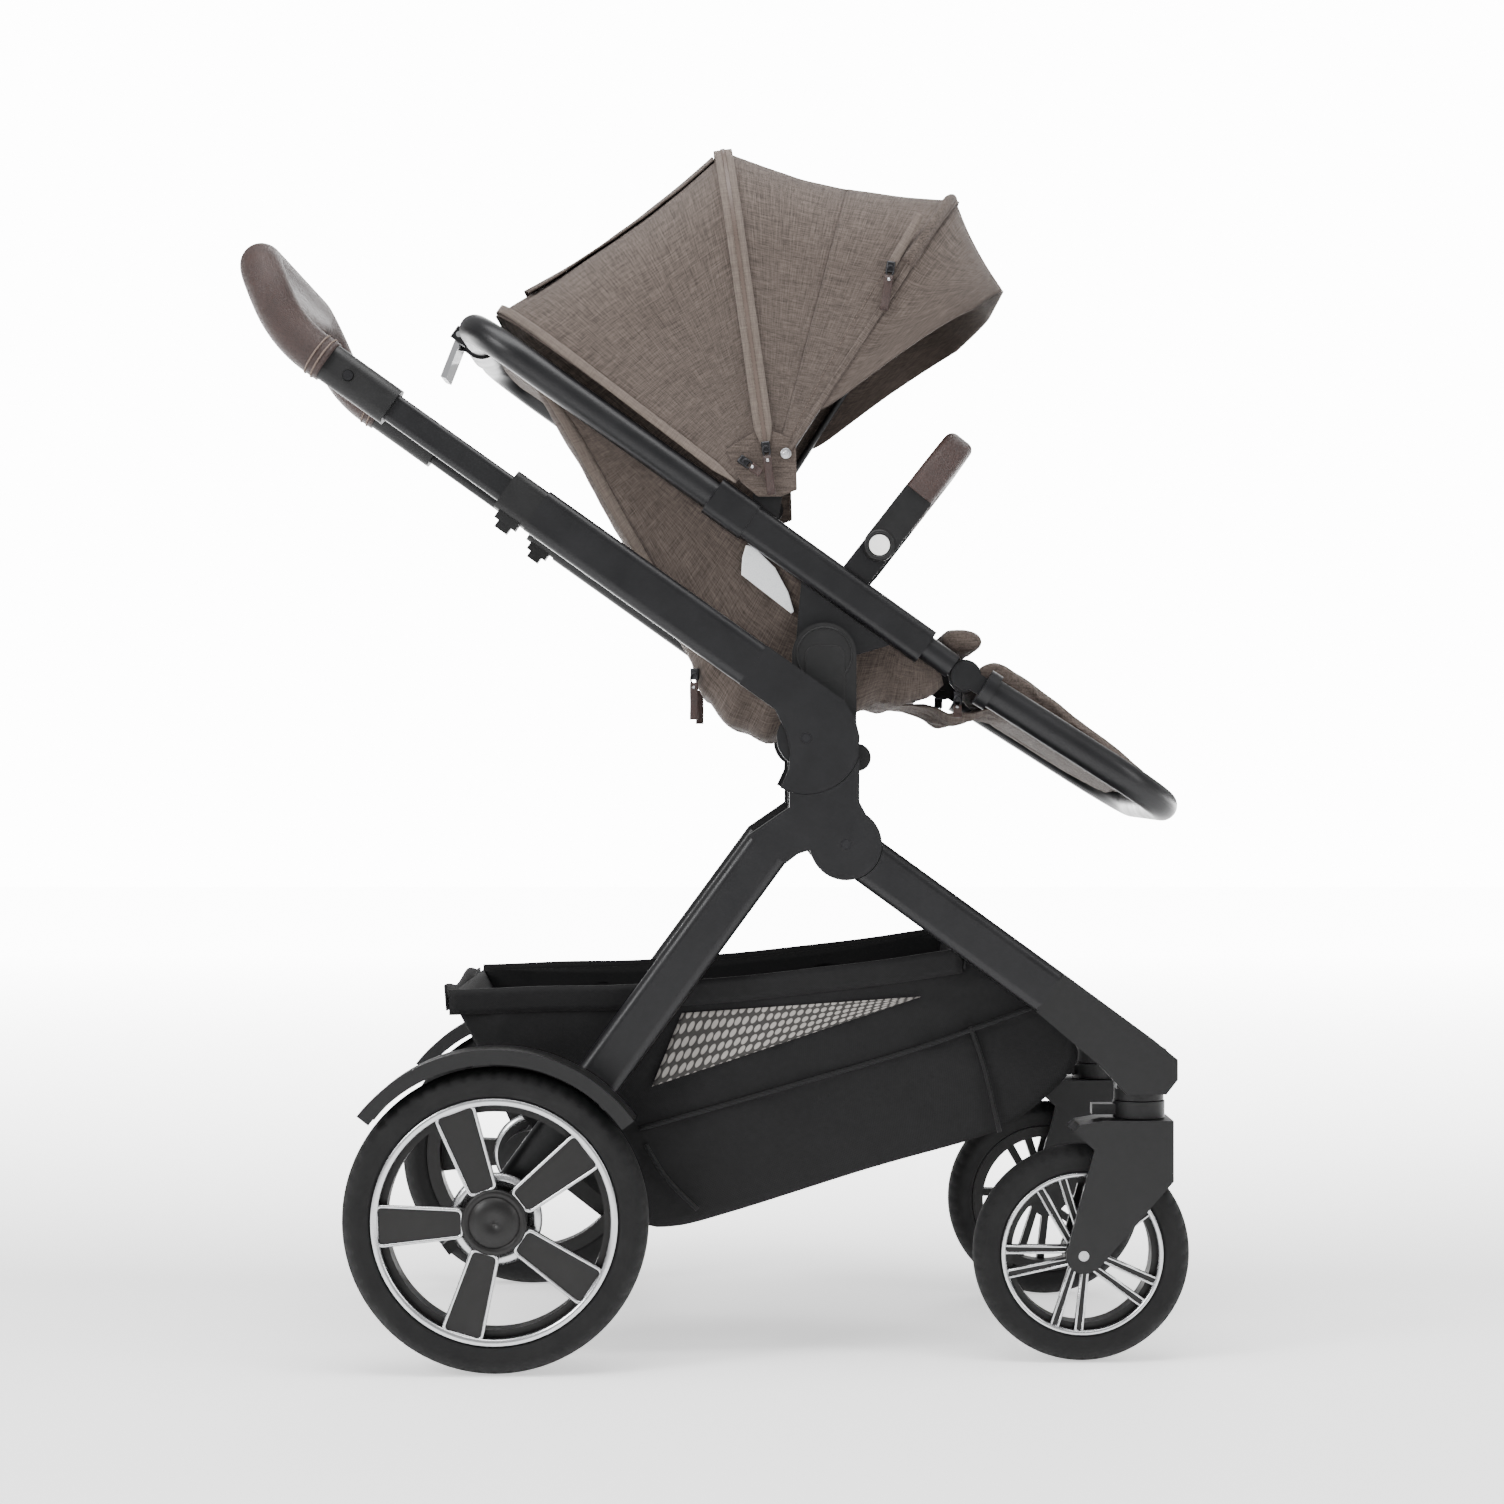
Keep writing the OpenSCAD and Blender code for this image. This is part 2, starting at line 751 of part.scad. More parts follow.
// half of a planar loop of round tube: straight from d to the corner, then to the centre line
module loop_half(from, to, corner, r, y) {
    translate([from, 0, 0]) rotate([0, 90, 0]) cylinder(r = r, h = to - corner - from);
    translate([to - corner, corner, 0]) rotate([0, 0, -90])
        rotate_extrude(angle = 90) translate([corner, 0]) circle(r);
    translate([to, corner, 0]) rotate([-90, 0, 0]) cylinder(r = r, h = y - corner + lap);
}

module back_loop() {
    start = mount_len - rail_back + 0.2;
    color(satin_black) both() aim(rail_p, rail_a + 180, -seat_y)
        loop_half(start, start + back_loop_len, loop_corner_r, loop_r, seat_y);
    // housing of the recline lever, clamped round the crossbar
    color(plastic_black) aim(rail_p, rail_a + 180) translate([start + back_loop_len, 0, 0])
        difference() {
            union() {
                cross(loop_r + 3, 90);
                for (y = [-36, 36]) translate([0, y - 3, 0]) cube([30, 6, 14]);
            }
            cross(loop_r, 92);
            translate([lever_out, 0, 7]) cross(3 + run_gap, 100);
        }
}

// squeeze lever behind the crossbar
module recline_lever() {
    start = mount_len - rail_back + 0.2;
    color("silver") aim(rail_p, rail_a + 180) translate([start + back_loop_len + lever_out, 0, 7]) {
        cross(3, 78);
        cross(6, 64);
        rotate([0, -14, 0]) translate([-3, -30, 0]) cube([6, 60, 46]);
    }
}

// bumper bar mounts: an ear on each seat rail
module bumper_ear() {
    slab(6, -seat_y + 7.4) union() {
        translate(bumper_p) circle(15);
        translate(bumper_p) rotate(bumper_a) translate([-70, -15]) square([70, 30]);
    }
}

module hood_ear() {
    slab(5, -hood_y + hood_t + 15) union() {
        translate(hood_p) circle(16);
        translate(hood_p) rotate(-100) translate([0, -14]) square([40, 28]);
    }
}

function unit(v) = v / norm(v);
function left_of(v) = [-v[1], v[0]];
function leg_dir(p, i) = unit(p[min(i + 1, len(p) - 1)] - p[min(i, len(p) - 2)]);
// the outline moved sideways by t, with mitred corners
function shifted(p, t) = [for (i = [0:len(p) - 1])
    let (a = leg_dir(p, max(i - 1, 0)), b = leg_dir(p, i), n = unit(left_of(a) + left_of(b)))
    p[i] + n * t / (n * left_of(b))];
function band(p, t0, t1) = concat(shifted(p, t0), [for (i = [len(p) - 1:-1:0]) shifted(p, t1)[i]]);

module seat_shell() {
    color(taupe) {
        slab(2 * shell_y) polygon(band(seat_line, 0, shell_t));
        both() slab(shell_t, -shell_y + shell_t / 2)
            polygon(concat(seat_line, [pan_front + [-27, 19], back_top + [20, -28]]));
    }
}

module seat_pad() {
    pad_line = [back_top + [8, -14], back_low, pan_low, pan_mid, pan_front];
    color(taupe) slab(2 * (shell_y - shell_t - 0.3))
        polygon(band(pad_line, shell_t + 0.3, shell_t + 0.3 + pad_t));
}

module harness() {
    lift = shell_t + pad_t + 0.6;
    back_dir = unit(back_low - back_top);
    pan_dir = unit(pan_mid - pan_low);
    strap = band([back_top + 95 * back_dir, back_top + 285 * back_dir], lift, lift + 6);
    crotch_at = pan_low + 50 * pan_dir;
    color(plastic_black) {
        for (y = [-52, 52]) slab(40, y) polygon(strap);
        slab(44) polygon(band([crotch_at, crotch_at + 42 * pan_dir], lift, lift + 26));
    }
}

// ---- bumper bar ----

module bumper_bar() {
    color(plastic_black) both() difference() {
        union() {
            slab(14, -arm_y) union() {
                translate(bumper_p) circle(bumper_w / 2);
                translate(bumper_p) rotate(bumper_a) translate([0, -bumper_w / 2])
                    square([62, bumper_w]);
            }
            at(bumper_p, -seat_y + 6) cross(6, 14);
        }
        at(bumper_p, -arm_y - 5) cross(10.5, 12);
    }
}

module bumper_grip_half() {
    aim(bumper_p, bumper_a, -arm_y) {
        translate([62.1, 0, 0]) bar(bumper_len - bumper_corner_r - 62.1, bumper_w, bumper_t, 8);
        translate([bumper_len - bumper_corner_r, bumper_corner_r, 0]) rotate([0, 0, -90])
            rotate_extrude(angle = 90) translate([bumper_corner_r, 0])
                rounded(bumper_t, bumper_w, 8);
        translate([bumper_len, bumper_corner_r, 0]) rotate([-90, 0, 0])
            linear_extrude(arm_y - bumper_corner_r + lap) rounded(bumper_t, bumper_w, 8);
    }
}

module bumper_grip() {
    color(leather_brown) both() bumper_grip_half();
}

module bumper_button() {
    color("white") at(bumper_p, -arm_y - 5) cross(10, 5);
}

module bumper_button_right() { bumper_button(); }
module bumper_button_left() { left() bumper_button(); }

// ---- calf rest ----

module calf_loop() {
    color(satin_black) both() difference() {
        union() {
            aim(calf_p, -calf_slope, -seat_y) {
                loop_half(20, calf_len, calf_corner_r, loop_r, seat_y);
                translate([20, 0, 0]) rotate([0, 90, 0]) cylinder(r = cuff_r, h = 12);
                translate([0, -5, -9]) cube([24, 8, 18]);
            }
            at(calf_p, -seat_y - 1) cross(14, 8);
            at(calf_p, -seat_y + 8) cross(6, 14);
        }
    }
}

module calf_pad() {
    half = seat_y - loop_r - 0.3;
    end = calf_len - loop_r - 0.3;
    chamfer = calf_corner_r - 14;
    // the pad starts past the cuffs of the loop
    pad_from = 32.5;
    color(taupe) aim(calf_p, -calf_slope) translate([0, 0, -4]) linear_extrude(18) polygon([
        [pad_from, -half], [end - chamfer, -half], [end, -half + chamfer],
        [end, half - chamfer], [end - chamfer, half], [pad_from, half]
    ]);
}

// ---- hood ----

// half of a bow's U in its own plane, as [across, reach], from foot s0 to the middle
function bow_half(y, reach, corner, s0) = concat(
    [[-y, s0], [-y, s0 + (reach - corner - s0) / 2]],
    [for (i = [0:5]) let (a = 180 - 18 * i)
        [-y + corner + corner * cos(a), reach - corner + corner * sin(a)]],
    [[0, reach]]);
function bow_u(y, reach, corner, s0) = let (h = bow_half(y, reach, corner, s0))
    concat(h, [for (i = [len(h) - 2:-1:0]) [-h[i][0], h[i][1]]]);
function on_bow(q, a) = [hood_p[0] + q[1] * cos(a), q[0], hood_p[1] + q[1] * sin(a)];

// a taut fabric panel from the bow at angle a1 to the bow at a2
module hood_panel(a1, r1, s1, a2, r2, s2) {
    n = len(bow_u(1, 400, 10, 0));
    outer = concat([for (q = bow_u(hood_y, r1, hood_corner_r, s1)) on_bow(q, a1)],
                   [for (q = bow_u(hood_y, r2, hood_corner_r, s2)) on_bow(q, a2)]);
    inner = concat(
        [for (q = bow_u(hood_y - hood_t, r1 - hood_t, hood_corner_r, s1)) on_bow(q, a1)],
        [for (q = bow_u(hood_y - hood_t, r2 - hood_t, hood_corner_r, s2)) on_bow(q, a2)]);
    m = 2 * n;
    polyhedron(concat(outer, inner), concat(
        [for (i = [0:n - 2]) each [[i, i + 1, n + i + 1], [i, n + i + 1, n + i]]],
        [for (i = [0:n - 2]) each [[m + i, m + n + i + 1, m + i + 1],
                                   [m + i, m + n + i, m + n + i + 1]]],
        [for (i = [0:n - 2]) each [[i, m + i, m + i + 1], [i, m + i + 1, i + 1]]],
        [for (i = [0:n - 2]) each [[n + i, n + i + 1, m + n + i + 1],
                                   [n + i, m + n + i + 1, m + n + i]]],
        [[0, n, m + n], [0, m + n, m]],
        [[n - 1, m + n - 1, m + 2 * n - 1], [n - 1, m + 2 * n - 1, 2 * n - 1]]
    ));
}

module hood_rear_panel() {
    color(taupe) hood_panel(rear_bow_a, hood_r - 16, foot_reach, mid_bow_a + 0.15, hood_r, foot_reach);
}

module hood_main_panel() {
    color(taupe)
        hood_panel(mid_bow_a - 0.15, hood_r, foot_reach, front_bow_a + 0.15, hood_r + 2, foot_reach);
}

module hood_visor() {
    color(taupe) hood_panel(front_bow_a - 0.15, hood_r + 2, 96, visor_a, hood_r - 34, 110);
}

// a wire bow inside the fabric, with a hinge disc at each foot
module hood_bow(a, reach, disc_y) {
    wire_y = hood_y - hood_t - bow_r - 0.7;
    // the wire hangs a little below the panels, which meet over it at an angle
    wire_drop = 2.5;
    top = reach - hood_t - bow_r - wire_drop;
    both() {
        difference() {
            aim(hood_p, a, -disc_y) {
                cross(11, 3);
                translate([0, -1.5, -bow_arm_w / 2]) cube([bow_arm_len, 3, bow_arm_w]);
            }
            at(hood_p, -disc_y) cross(5 + run_gap, 20);
        }
        aim(hood_p, a, -wire_y)
            loop_half(bow_arm_len - 2.5, top, hood_corner_r, bow_r, wire_y);
    }
}

module hood_mid_bow() {
    color(plastic_black) hood_bow(mid_bow_a, hood_r, hood_y - hood_t - 2);
}

module hood_front_bow() {
    color(plastic_black) hood_bow(front_bow_a, hood_r + 2, hood_y - hood_t - 6);
}

elbow_lower_right();
elbow_lower_left();
rear_leg_right();
rear_leg_left();
rear_axle();
brake_housings();
rear_fenders();
seat_posts();
carry_bar();
pivot_screws();
basket();
elbow_upper_right();
elbow_upper_left();
sleeve_right();
sleeve_left();
tube_collars();
handle_tubes();
handle_blocks();
handle_grip();
handle_button_right();
handle_button_left();
fold_button_right();
fold_button_left();
front_leg_right();
front_leg_left();
front_castings();
footplate();
fork_right();
fork_left();
swivel_lock_right();
swivel_lock_left();
front_tyre_right();
front_tyre_left();
front_rim_right();
front_rim_left();
front_pin_right();
front_pin_left();
rear_tyre_right();
rear_tyre_left();
rear_rim_right();
rear_rim_left();
brake_pedal();
seat_rail_right();
seat_rail_left();
back_loop();
recline_lever();
seat_shell();
seat_pad();
harness();
bumper_bar();
bumper_grip();
bumper_button_right();
bumper_button_left();
calf_loop();
calf_pad();
hood_mid_bow();
hood_front_bow();
hood_rear_panel();
hood_main_panel();
hood_visor();
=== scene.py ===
import json
import math

import bpy
import numpy as np
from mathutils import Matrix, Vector, noise


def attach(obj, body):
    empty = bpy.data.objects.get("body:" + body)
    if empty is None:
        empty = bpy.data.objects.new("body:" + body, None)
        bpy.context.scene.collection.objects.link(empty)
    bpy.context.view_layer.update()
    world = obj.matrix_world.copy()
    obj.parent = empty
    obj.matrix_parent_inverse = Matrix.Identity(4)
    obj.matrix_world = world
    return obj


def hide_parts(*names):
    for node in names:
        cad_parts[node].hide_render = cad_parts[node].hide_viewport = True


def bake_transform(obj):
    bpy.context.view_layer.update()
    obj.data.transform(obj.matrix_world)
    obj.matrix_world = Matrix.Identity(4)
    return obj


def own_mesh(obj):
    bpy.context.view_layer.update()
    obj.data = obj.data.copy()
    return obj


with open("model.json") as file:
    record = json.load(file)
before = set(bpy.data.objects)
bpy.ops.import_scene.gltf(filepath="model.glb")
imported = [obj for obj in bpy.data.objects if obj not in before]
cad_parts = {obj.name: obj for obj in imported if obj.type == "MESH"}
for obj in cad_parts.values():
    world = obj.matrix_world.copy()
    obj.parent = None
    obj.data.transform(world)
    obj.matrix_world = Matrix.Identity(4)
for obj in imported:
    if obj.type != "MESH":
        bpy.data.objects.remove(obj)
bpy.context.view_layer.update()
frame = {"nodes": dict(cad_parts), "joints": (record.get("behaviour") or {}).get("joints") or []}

# ---- Studio ---------------------------------------------------------------
# A plain pale floor under soft light, and a long lens at the side of the stroller,
# a little over half a metre above the floor.
camera_distance = 3.35
camera_height = 0.5748
camera_ahead = 0.0368
scene = bpy.context.scene
camera_data = bpy.data.cameras.new("side_camera")
camera_data.lens = 78.0
camera_data.sensor_width = 36.0
camera_data.shift_y = 0.0086
camera = bpy.data.objects.new("side_camera", camera_data)
camera.location = (camera_ahead, -camera_distance, camera_height)
camera.rotation_euler = (math.radians(90), 0, 0)
scene.collection.objects.link(camera)
scene.camera = camera


def linear(hex_code):
    """An sRGB hex colour as linear RGBA."""
    channels = [int(hex_code[i:i + 2], 16) / 255 for i in (1, 3, 5)]
    return [c / 12.92 if c <= 0.04045 else ((c + 0.055) / 1.055) ** 2.4 for c in channels] + [1.0]


def add(tree, kind, settings=None, **links):
    """Adds a node with its settings, and links each named or numbered input to an output."""
    node = tree.nodes.new(kind)
    for key, value in (settings or {}).items():
        if hasattr(node, key):
            setattr(node, key, value)
        else:
            node.inputs[key].default_value = value
    for key, output in links.items():
        name = int(key[1:]) if key[0] == "i" and key[1:].isdigit() else key.replace("_", " ")
        tree.links.new(output, node.inputs[name])
    return node


def new_material(name, **settings):
    """A material with only a Principled shader, whose plain sockets are set by name."""
    material = bpy.data.materials.new(name)
    material.use_nodes = True
    shader = material.node_tree.nodes["Principled BSDF"]
    for key, value in settings.items():
        shader.inputs[key.replace("_", " ")].default_value = value
    return material, material.node_tree, shader


def mix(tree, a, b, factor, blend="MIX"):
    """Mixes two colours, each a colour list or an output, by an output or a number."""
    node = add(tree, "ShaderNodeMix", {"data_type": "RGBA", "blend_type": blend})
    for socket, value in ((node.inputs[0], factor), (node.inputs[6], a), (node.inputs[7], b)):
        if isinstance(value, bpy.types.NodeSocket):
            tree.links.new(value, socket)
        else:
            socket.default_value = value
    return node.outputs[2]


def place(tree, scale=(1, 1, 1), turn=(0, 0, 0)):
    """Object-space coordinates in millimetres, then scaled and turned."""
    coords = add(tree, "ShaderNodeTexCoord")
    mapped = add(tree, "ShaderNodeMapping", {"Rotation": turn, "Scale": [1000 * s for s in scale]})
    tree.links.new(coords.outputs["Object"], mapped.inputs["Vector"])
    return mapped.outputs["Vector"]


def ramp(tree, value, low, high, out_low=0.0, out_high=1.0):
    node = add(tree, "ShaderNodeMapRange",
               {"From Min": low, "From Max": high, "To Min": out_low, "To Max": out_high})
    tree.links.new(value, node.inputs["Value"])
    return node.outputs["Result"]


def bump(tree, shader, height, distance_mm, strength=1.0):
    node = add(tree, "ShaderNodeBump", {"Strength": strength, "Distance": distance_mm / 1000}, Height=height)
    tree.links.new(node.outputs["Normal"], shader.inputs["Normal"])


floor_material, floor_tree, floor_shader = new_material("studio_paper", Roughness=0.9)
floor_shader.inputs["Base Color"].default_value = linear("#f7f7f7")
floor_shader.inputs["Emission Color"].default_value = linear("#ffffff")
floor_place = add(floor_tree, "ShaderNodeTexCoord")
floor_split = add(floor_tree, "ShaderNodeSeparateXYZ", {}, Vector=floor_place.outputs["Object"])
floor_fade = ramp(floor_tree, floor_split.outputs["Y"], 0.3, 6.5, 0.85, 12.0)
floor_tree.links.new(floor_fade, floor_shader.inputs["Emission Strength"])
bpy.ops.mesh.primitive_plane_add(size=60, location=(0, 0, 0))
floor = bpy.context.object
floor.name = "studio_floor"
floor.data.materials.append(floor_material)

world = bpy.data.worlds.new("studio_world")
scene.world = world
world.use_nodes = True
world.node_tree.nodes["Background"].inputs["Color"].default_value = linear("#ffffff")
world.node_tree.nodes["Background"].inputs["Strength"].default_value = 0.62


def softbox(name, place_at, look_at, size, watts):
    data = bpy.data.lights.new(name, "AREA")
    data.shape = "RECTANGLE"
    data.size, data.size_y = size
    data.energy = watts
    lamp = bpy.data.objects.new(name, data)
    lamp.location = place_at
    lamp.rotation_euler = (Vector(look_at) - Vector(place_at)).to_track_quat("-Z", "Y").to_euler()
    scene.collection.objects.link(lamp)


backdrop_material = bpy.data.materials.new("studio_backdrop")
backdrop_material.use_nodes = True
backdrop_tree = backdrop_material.node_tree
backdrop_tree.nodes.clear()
glow = add(backdrop_tree, "ShaderNodeEmission", {"Color": linear("#ffffff"), "Strength": 14.0})
add(backdrop_tree, "ShaderNodeOutputMaterial", {}, Surface=glow.outputs["Emission"])
bpy.ops.mesh.primitive_plane_add(size=40, location=(0, 12, 0), rotation=(math.radians(90), 0, 0))
backdrop = bpy.context.object
backdrop.name = "studio_backdrop"
backdrop.data.materials.append(backdrop_material)
backdrop.visible_diffuse = False
backdrop.visible_glossy = False
softbox("top_softbox", (0.1, -0.6, 3.0), (0, 0, 0.5), (2.4, 1.6), 95)
softbox("key_softbox", (-2.4, -2.2, 2.2), (0, 0, 0.7), (1.0, 1.4), 85)
softbox("fill_softbox", (2.6, -1.6, 1.6), (0, 0, 0.6), (0.8, 1.6), 30)
softbox("back_softbox", (0.4, 2.6, 2.2), (0, 0, 0.7), (2.0, 1.2), 40)

# ---- Painted frame --------------------------------------------------------
# Drawn aluminium tubes and die-cast elbows under one satin charcoal powder coat, which
# holds a fine metallic fleck and a faint orange-peel surface.
joints = {j["name"]: j for j in frame["joints"]}


def pivot(joint):
    return Vector(joints[joint]["pos_m"])


def powder_coat():
    material, tree, shader = new_material("charcoal_powder_coat", Metallic=0.25, Roughness=0.34, IOR=1.45)
    fleck = add(tree, "ShaderNodeTexVoronoi", {"Scale": 1.6}, Vector=place(tree))
    spark = ramp(tree, fleck.outputs["Distance"], 0.0, 0.28, 1.0, 0.0)
    cloud = add(tree, "ShaderNodeTexNoise", {"Scale": 0.03, "Detail": 3.0}, Vector=place(tree))
    shade = mix(tree, linear("#0e0e10"), linear("#161618"), cloud.outputs["Fac"])
    tree.links.new(mix(tree, shade, linear("#34343a"), ramp(tree, spark, 0, 1, 0, 0.5)),
                   shader.inputs["Base Color"])
    tree.links.new(ramp(tree, cloud.outputs["Fac"], 0.3, 0.7, 0.33, 0.42), shader.inputs["Roughness"])
    peel = add(tree, "ShaderNodeTexNoise", {"Scale": 0.7, "Detail": 2.0}, Vector=place(tree))
    bump(tree, shader, peel.outputs["Fac"], 0.05)
    return material


def finish_cad(material, nodes, bevel_mm=0.0):
    """Gives CAD nodes their finish, and breaks their sharp edges where the real piece is cast or moulded."""
    for name in nodes:
        piece = frame["nodes"][name]
        piece.data.materials.clear()
        piece.data.materials.append(material)
        if bevel_mm:
            edge = piece.modifiers.new("edge_break", "BEVEL")
            edge.width = bevel_mm / 1000
            edge.segments = 3
            edge.limit_method = "ANGLE"
            edge.angle_limit = math.radians(38)
            edge.use_clamp_overlap = True
        piece.data.shade_smooth()
        if bevel_mm != 0.8:
            keep = piece.modifiers.new("flat_faces", "WEIGHTED_NORMAL")
            keep.keep_sharp = False


charcoal = powder_coat()
finish_cad(charcoal, ["elbow_lower_right", "elbow_lower_left", "elbow_upper_right", "elbow_upper_left"], 4.0)
finish_cad(charcoal, ["rear_leg_right", "rear_leg_left", "front_leg_right", "front_leg_left", "sleeve_right",
                      "sleeve_left", "handle_tubes", "seat_rail_right", "seat_rail_left", "back_loop",
                      "calf_loop"], 0.8)

# ---- Moulded parts --------------------------------------------------------
# Glass-filled nylon with a spark-eroded texture: castings, forks, collars and posts.


def moulded_nylon(name, colour, roughness, grain_mm=0.6):
    material, tree, shader = new_material(name, Roughness=roughness, IOR=1.4)
    cloud = add(tree, "ShaderNodeTexNoise", {"Scale": 0.05, "Detail": 4.0}, Vector=place(tree))
    light = [c * 1.35 for c in linear(colour)[:3]] + [1.0]
    tree.links.new(mix(tree, linear(colour), light, cloud.outputs["Fac"]), shader.inputs["Base Color"])
    tree.links.new(ramp(tree, cloud.outputs["Fac"], 0.3, 0.7, roughness - 0.06, roughness + 0.08),
                   shader.inputs["Roughness"])
    grain = add(tree, "ShaderNodeTexNoise", {"Scale": 1 / grain_mm, "Detail": 2.0}, Vector=place(tree))
    bump(tree, shader, grain.outputs["Fac"], 0.06)
    return material


nylon = moulded_nylon("moulded_black_nylon", "#0b0b0c", 0.48)
finish_cad(nylon, ["brake_housings", "rear_fenders", "seat_posts", "tube_collars", "handle_blocks",
                   "front_castings", "footplate", "fork_right", "fork_left", "swivel_lock_right",
                   "swivel_lock_left", "brake_pedal", "bumper_bar", "fold_button_right",
                   "fold_button_left", "hood_mid_bow", "hood_front_bow"], 1.6)
white_cap = moulded_nylon("moulded_white_abs", "#e9e9e6", 0.3)
finish_cad(white_cap, ["bumper_button_right", "bumper_button_left"], 0.8)


def bare_metal(name, colour, roughness):
    material, tree, shader = new_material(name, Metallic=1.0, Roughness=roughness)
    brush = add(tree, "ShaderNodeTexNoise", {"Scale": 0.8, "Detail": 3.0}, Vector=place(tree, (1, 1, 6)))
    dark = [c * 0.8 for c in linear(colour)[:3]] + [1.0]
    tree.links.new(mix(tree, dark, linear(colour), brush.outputs["Fac"]), shader.inputs["Base Color"])
    tree.links.new(ramp(tree, brush.outputs["Fac"], 0.3, 0.7, roughness * 0.8, roughness * 1.25),
                   shader.inputs["Roughness"])
    return material


steel = bare_metal("turned_steel", "#b9babd", 0.28)
dark_screw = bare_metal("blackened_screw", "#3a3a3c", 0.35)
chrome = bare_metal("chrome_plate", "#e2e3e6", 0.07)
machined = bare_metal("machined_aluminium", "#cfd0d2", 0.24)
finish_cad(steel, ["rear_axle", "front_pin_right", "front_pin_left"], 0.4)
finish_cad(dark_screw, ["pivot_screws", "handle_button_right", "handle_button_left"], 0.3)
finish_cad(chrome, ["recline_lever"], 1.5)

# ---- Wheels ---------------------------------------------------------------
# Foam-filled rubber tyres with notched shoulders on black rims, whose lips and spoke
# edges are machined bright. The wheel caps are plain.


def build(name, verts, faces, material, smooth=True):
    mesh = bpy.data.meshes.new(name)
    mesh.from_pydata([tuple(v) for v in verts], [], faces)
    mesh.validate()
    mesh.update()
    mesh.materials.append(material)
    obj = bpy.data.objects.new(name, mesh)
    scene.collection.objects.link(obj)
    if smooth:
        mesh.shade_smooth()
    return obj


def lathe(name, centre, profile, material, steps=180, wave=None):
    """Turns a closed [radius, across] outline about the Y axis through centre; wave(k, r, y) may vary r."""
    n = len(profile)
    verts = []
    for k in range(steps):
        a = 2 * math.pi * k / steps
        for r, y in profile:
            rr = wave(k, r, y) if wave else r
            verts.append((centre.x + rr * math.cos(a), centre.y + y, centre.z + rr * math.sin(a)))
    faces = [(k * n + i, k * n + (i + 1) % n, (k + 1) % steps * n + (i + 1) % n, (k + 1) % steps * n + i)
             for k in range(steps) for i in range(n)]
    return build(name, verts, faces, material)


def rubber():
    material, tree, shader = new_material("tyre_rubber", Roughness=0.8, IOR=1.36)
    dust = add(tree, "ShaderNodeTexNoise", {"Scale": 0.04, "Detail": 6.0}, Vector=place(tree))
    tree.links.new(mix(tree, linear("#090909"), linear("#151516"), dust.outputs["Fac"]),
                   shader.inputs["Base Color"])
    tree.links.new(ramp(tree, dust.outputs["Fac"], 0.3, 0.7, 0.7, 0.86), shader.inputs["Roughness"])
    skin = add(tree, "ShaderNodeTexNoise", {"Scale": 1.2, "Detail": 3.0}, Vector=place(tree))
    bump(tree, shader, skin.outputs["Fac"], 0.08)
    return material


tyre_rubber = rubber()
rim_nylon = moulded_nylon("satin_black_rim", "#0b0a0a", 0.42)
finish_cad(rim_nylon, ["rear_rim_right", "rear_rim_left", "front_rim_right", "front_rim_left"], 1.0)


def tyre_outline(radius, width, rim):
    """Half-round tread, upright sidewall with a raised band, and a bead against the rim."""
    half = width / 2
    points = []
    for i in range(25):
        a = math.radians(-90 + 180 * i / 24)
        points.append((radius - half * 0.62 + half * 0.62 * math.cos(a), half * math.sin(a)))
    side = [(radius - half * 0.62 - 0.0035, half * 0.985), (radius - half * 0.62 - 0.0045, half * 0.955),
            (rim + 0.004, half * 0.93), (rim + 0.001, half * 0.86), (rim, half * 0.7)]
    return points + side + [(r, -y) for r, y in reversed(side)]


def make_wheel(side, end, axle, radius, width, rim, spokes, first, body, node_tyre):
    """side is -1 for the right wheel; end names the pieces."""
    steps = 240
    pitch = 4 if radius > 0.12 else 5

    def notch(k, r, y):
        edge = abs(y) > width * 0.26 and r > radius - width * 0.22
        groove = abs(abs(y) - width * 0.16) < width * 0.03 and r > radius * 0.96
        return r - (0.0018 if edge and k % pitch == 0 else 0.0) - (0.0012 if groove else 0.0)

    tyre = lathe(f"tyre_{end}", axle, tyre_outline(radius, width, rim), tyre_rubber, steps, notch)
    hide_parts(node_tyre)
    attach(tyre, body)
    face = side * (width / 2 - 0.0035)
    lip = 0.0065 if radius > 0.12 else 0.0042
    ring = lathe(f"rim_lip_{end}", axle, [(rim - 0.0003, face), (rim - 0.0012, face + side * 0.0012),
                 (rim - lip, face + side * 0.0006), (rim - lip - 0.0012, face - side * 0.003),
                 (rim - 0.0003, face - side * 0.003)], machined, 180)
    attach(ring, body)
    edges = bpy.data.curves.new(f"spoke_edges_{end}", "CURVE")
    edges.dimensions = "3D"
    edges.bevel_depth = 0.0017
    edges.bevel_resolution = 2
    for i in range(5):
        a0 = math.radians(first + 72 * i)
        for outline in spokes:
            spline = edges.splines.new("POLY")
            spline.points.add(len(outline) - 1)
            spline.use_cyclic_u = True
            for point, (r, w) in zip(spline.points, outline):
                x = r * math.cos(a0) - w * math.sin(a0)
                z = r * math.sin(a0) + w * math.cos(a0)
                point.co = (axle.x + x, axle.y + face - side * 0.0022, axle.z + z, 1)
    obj = bpy.data.objects.new(f"spoke_edges_{end}", edges)
    edges.materials.append(machined)
    scene.collection.objects.link(obj)
    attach(obj, body)


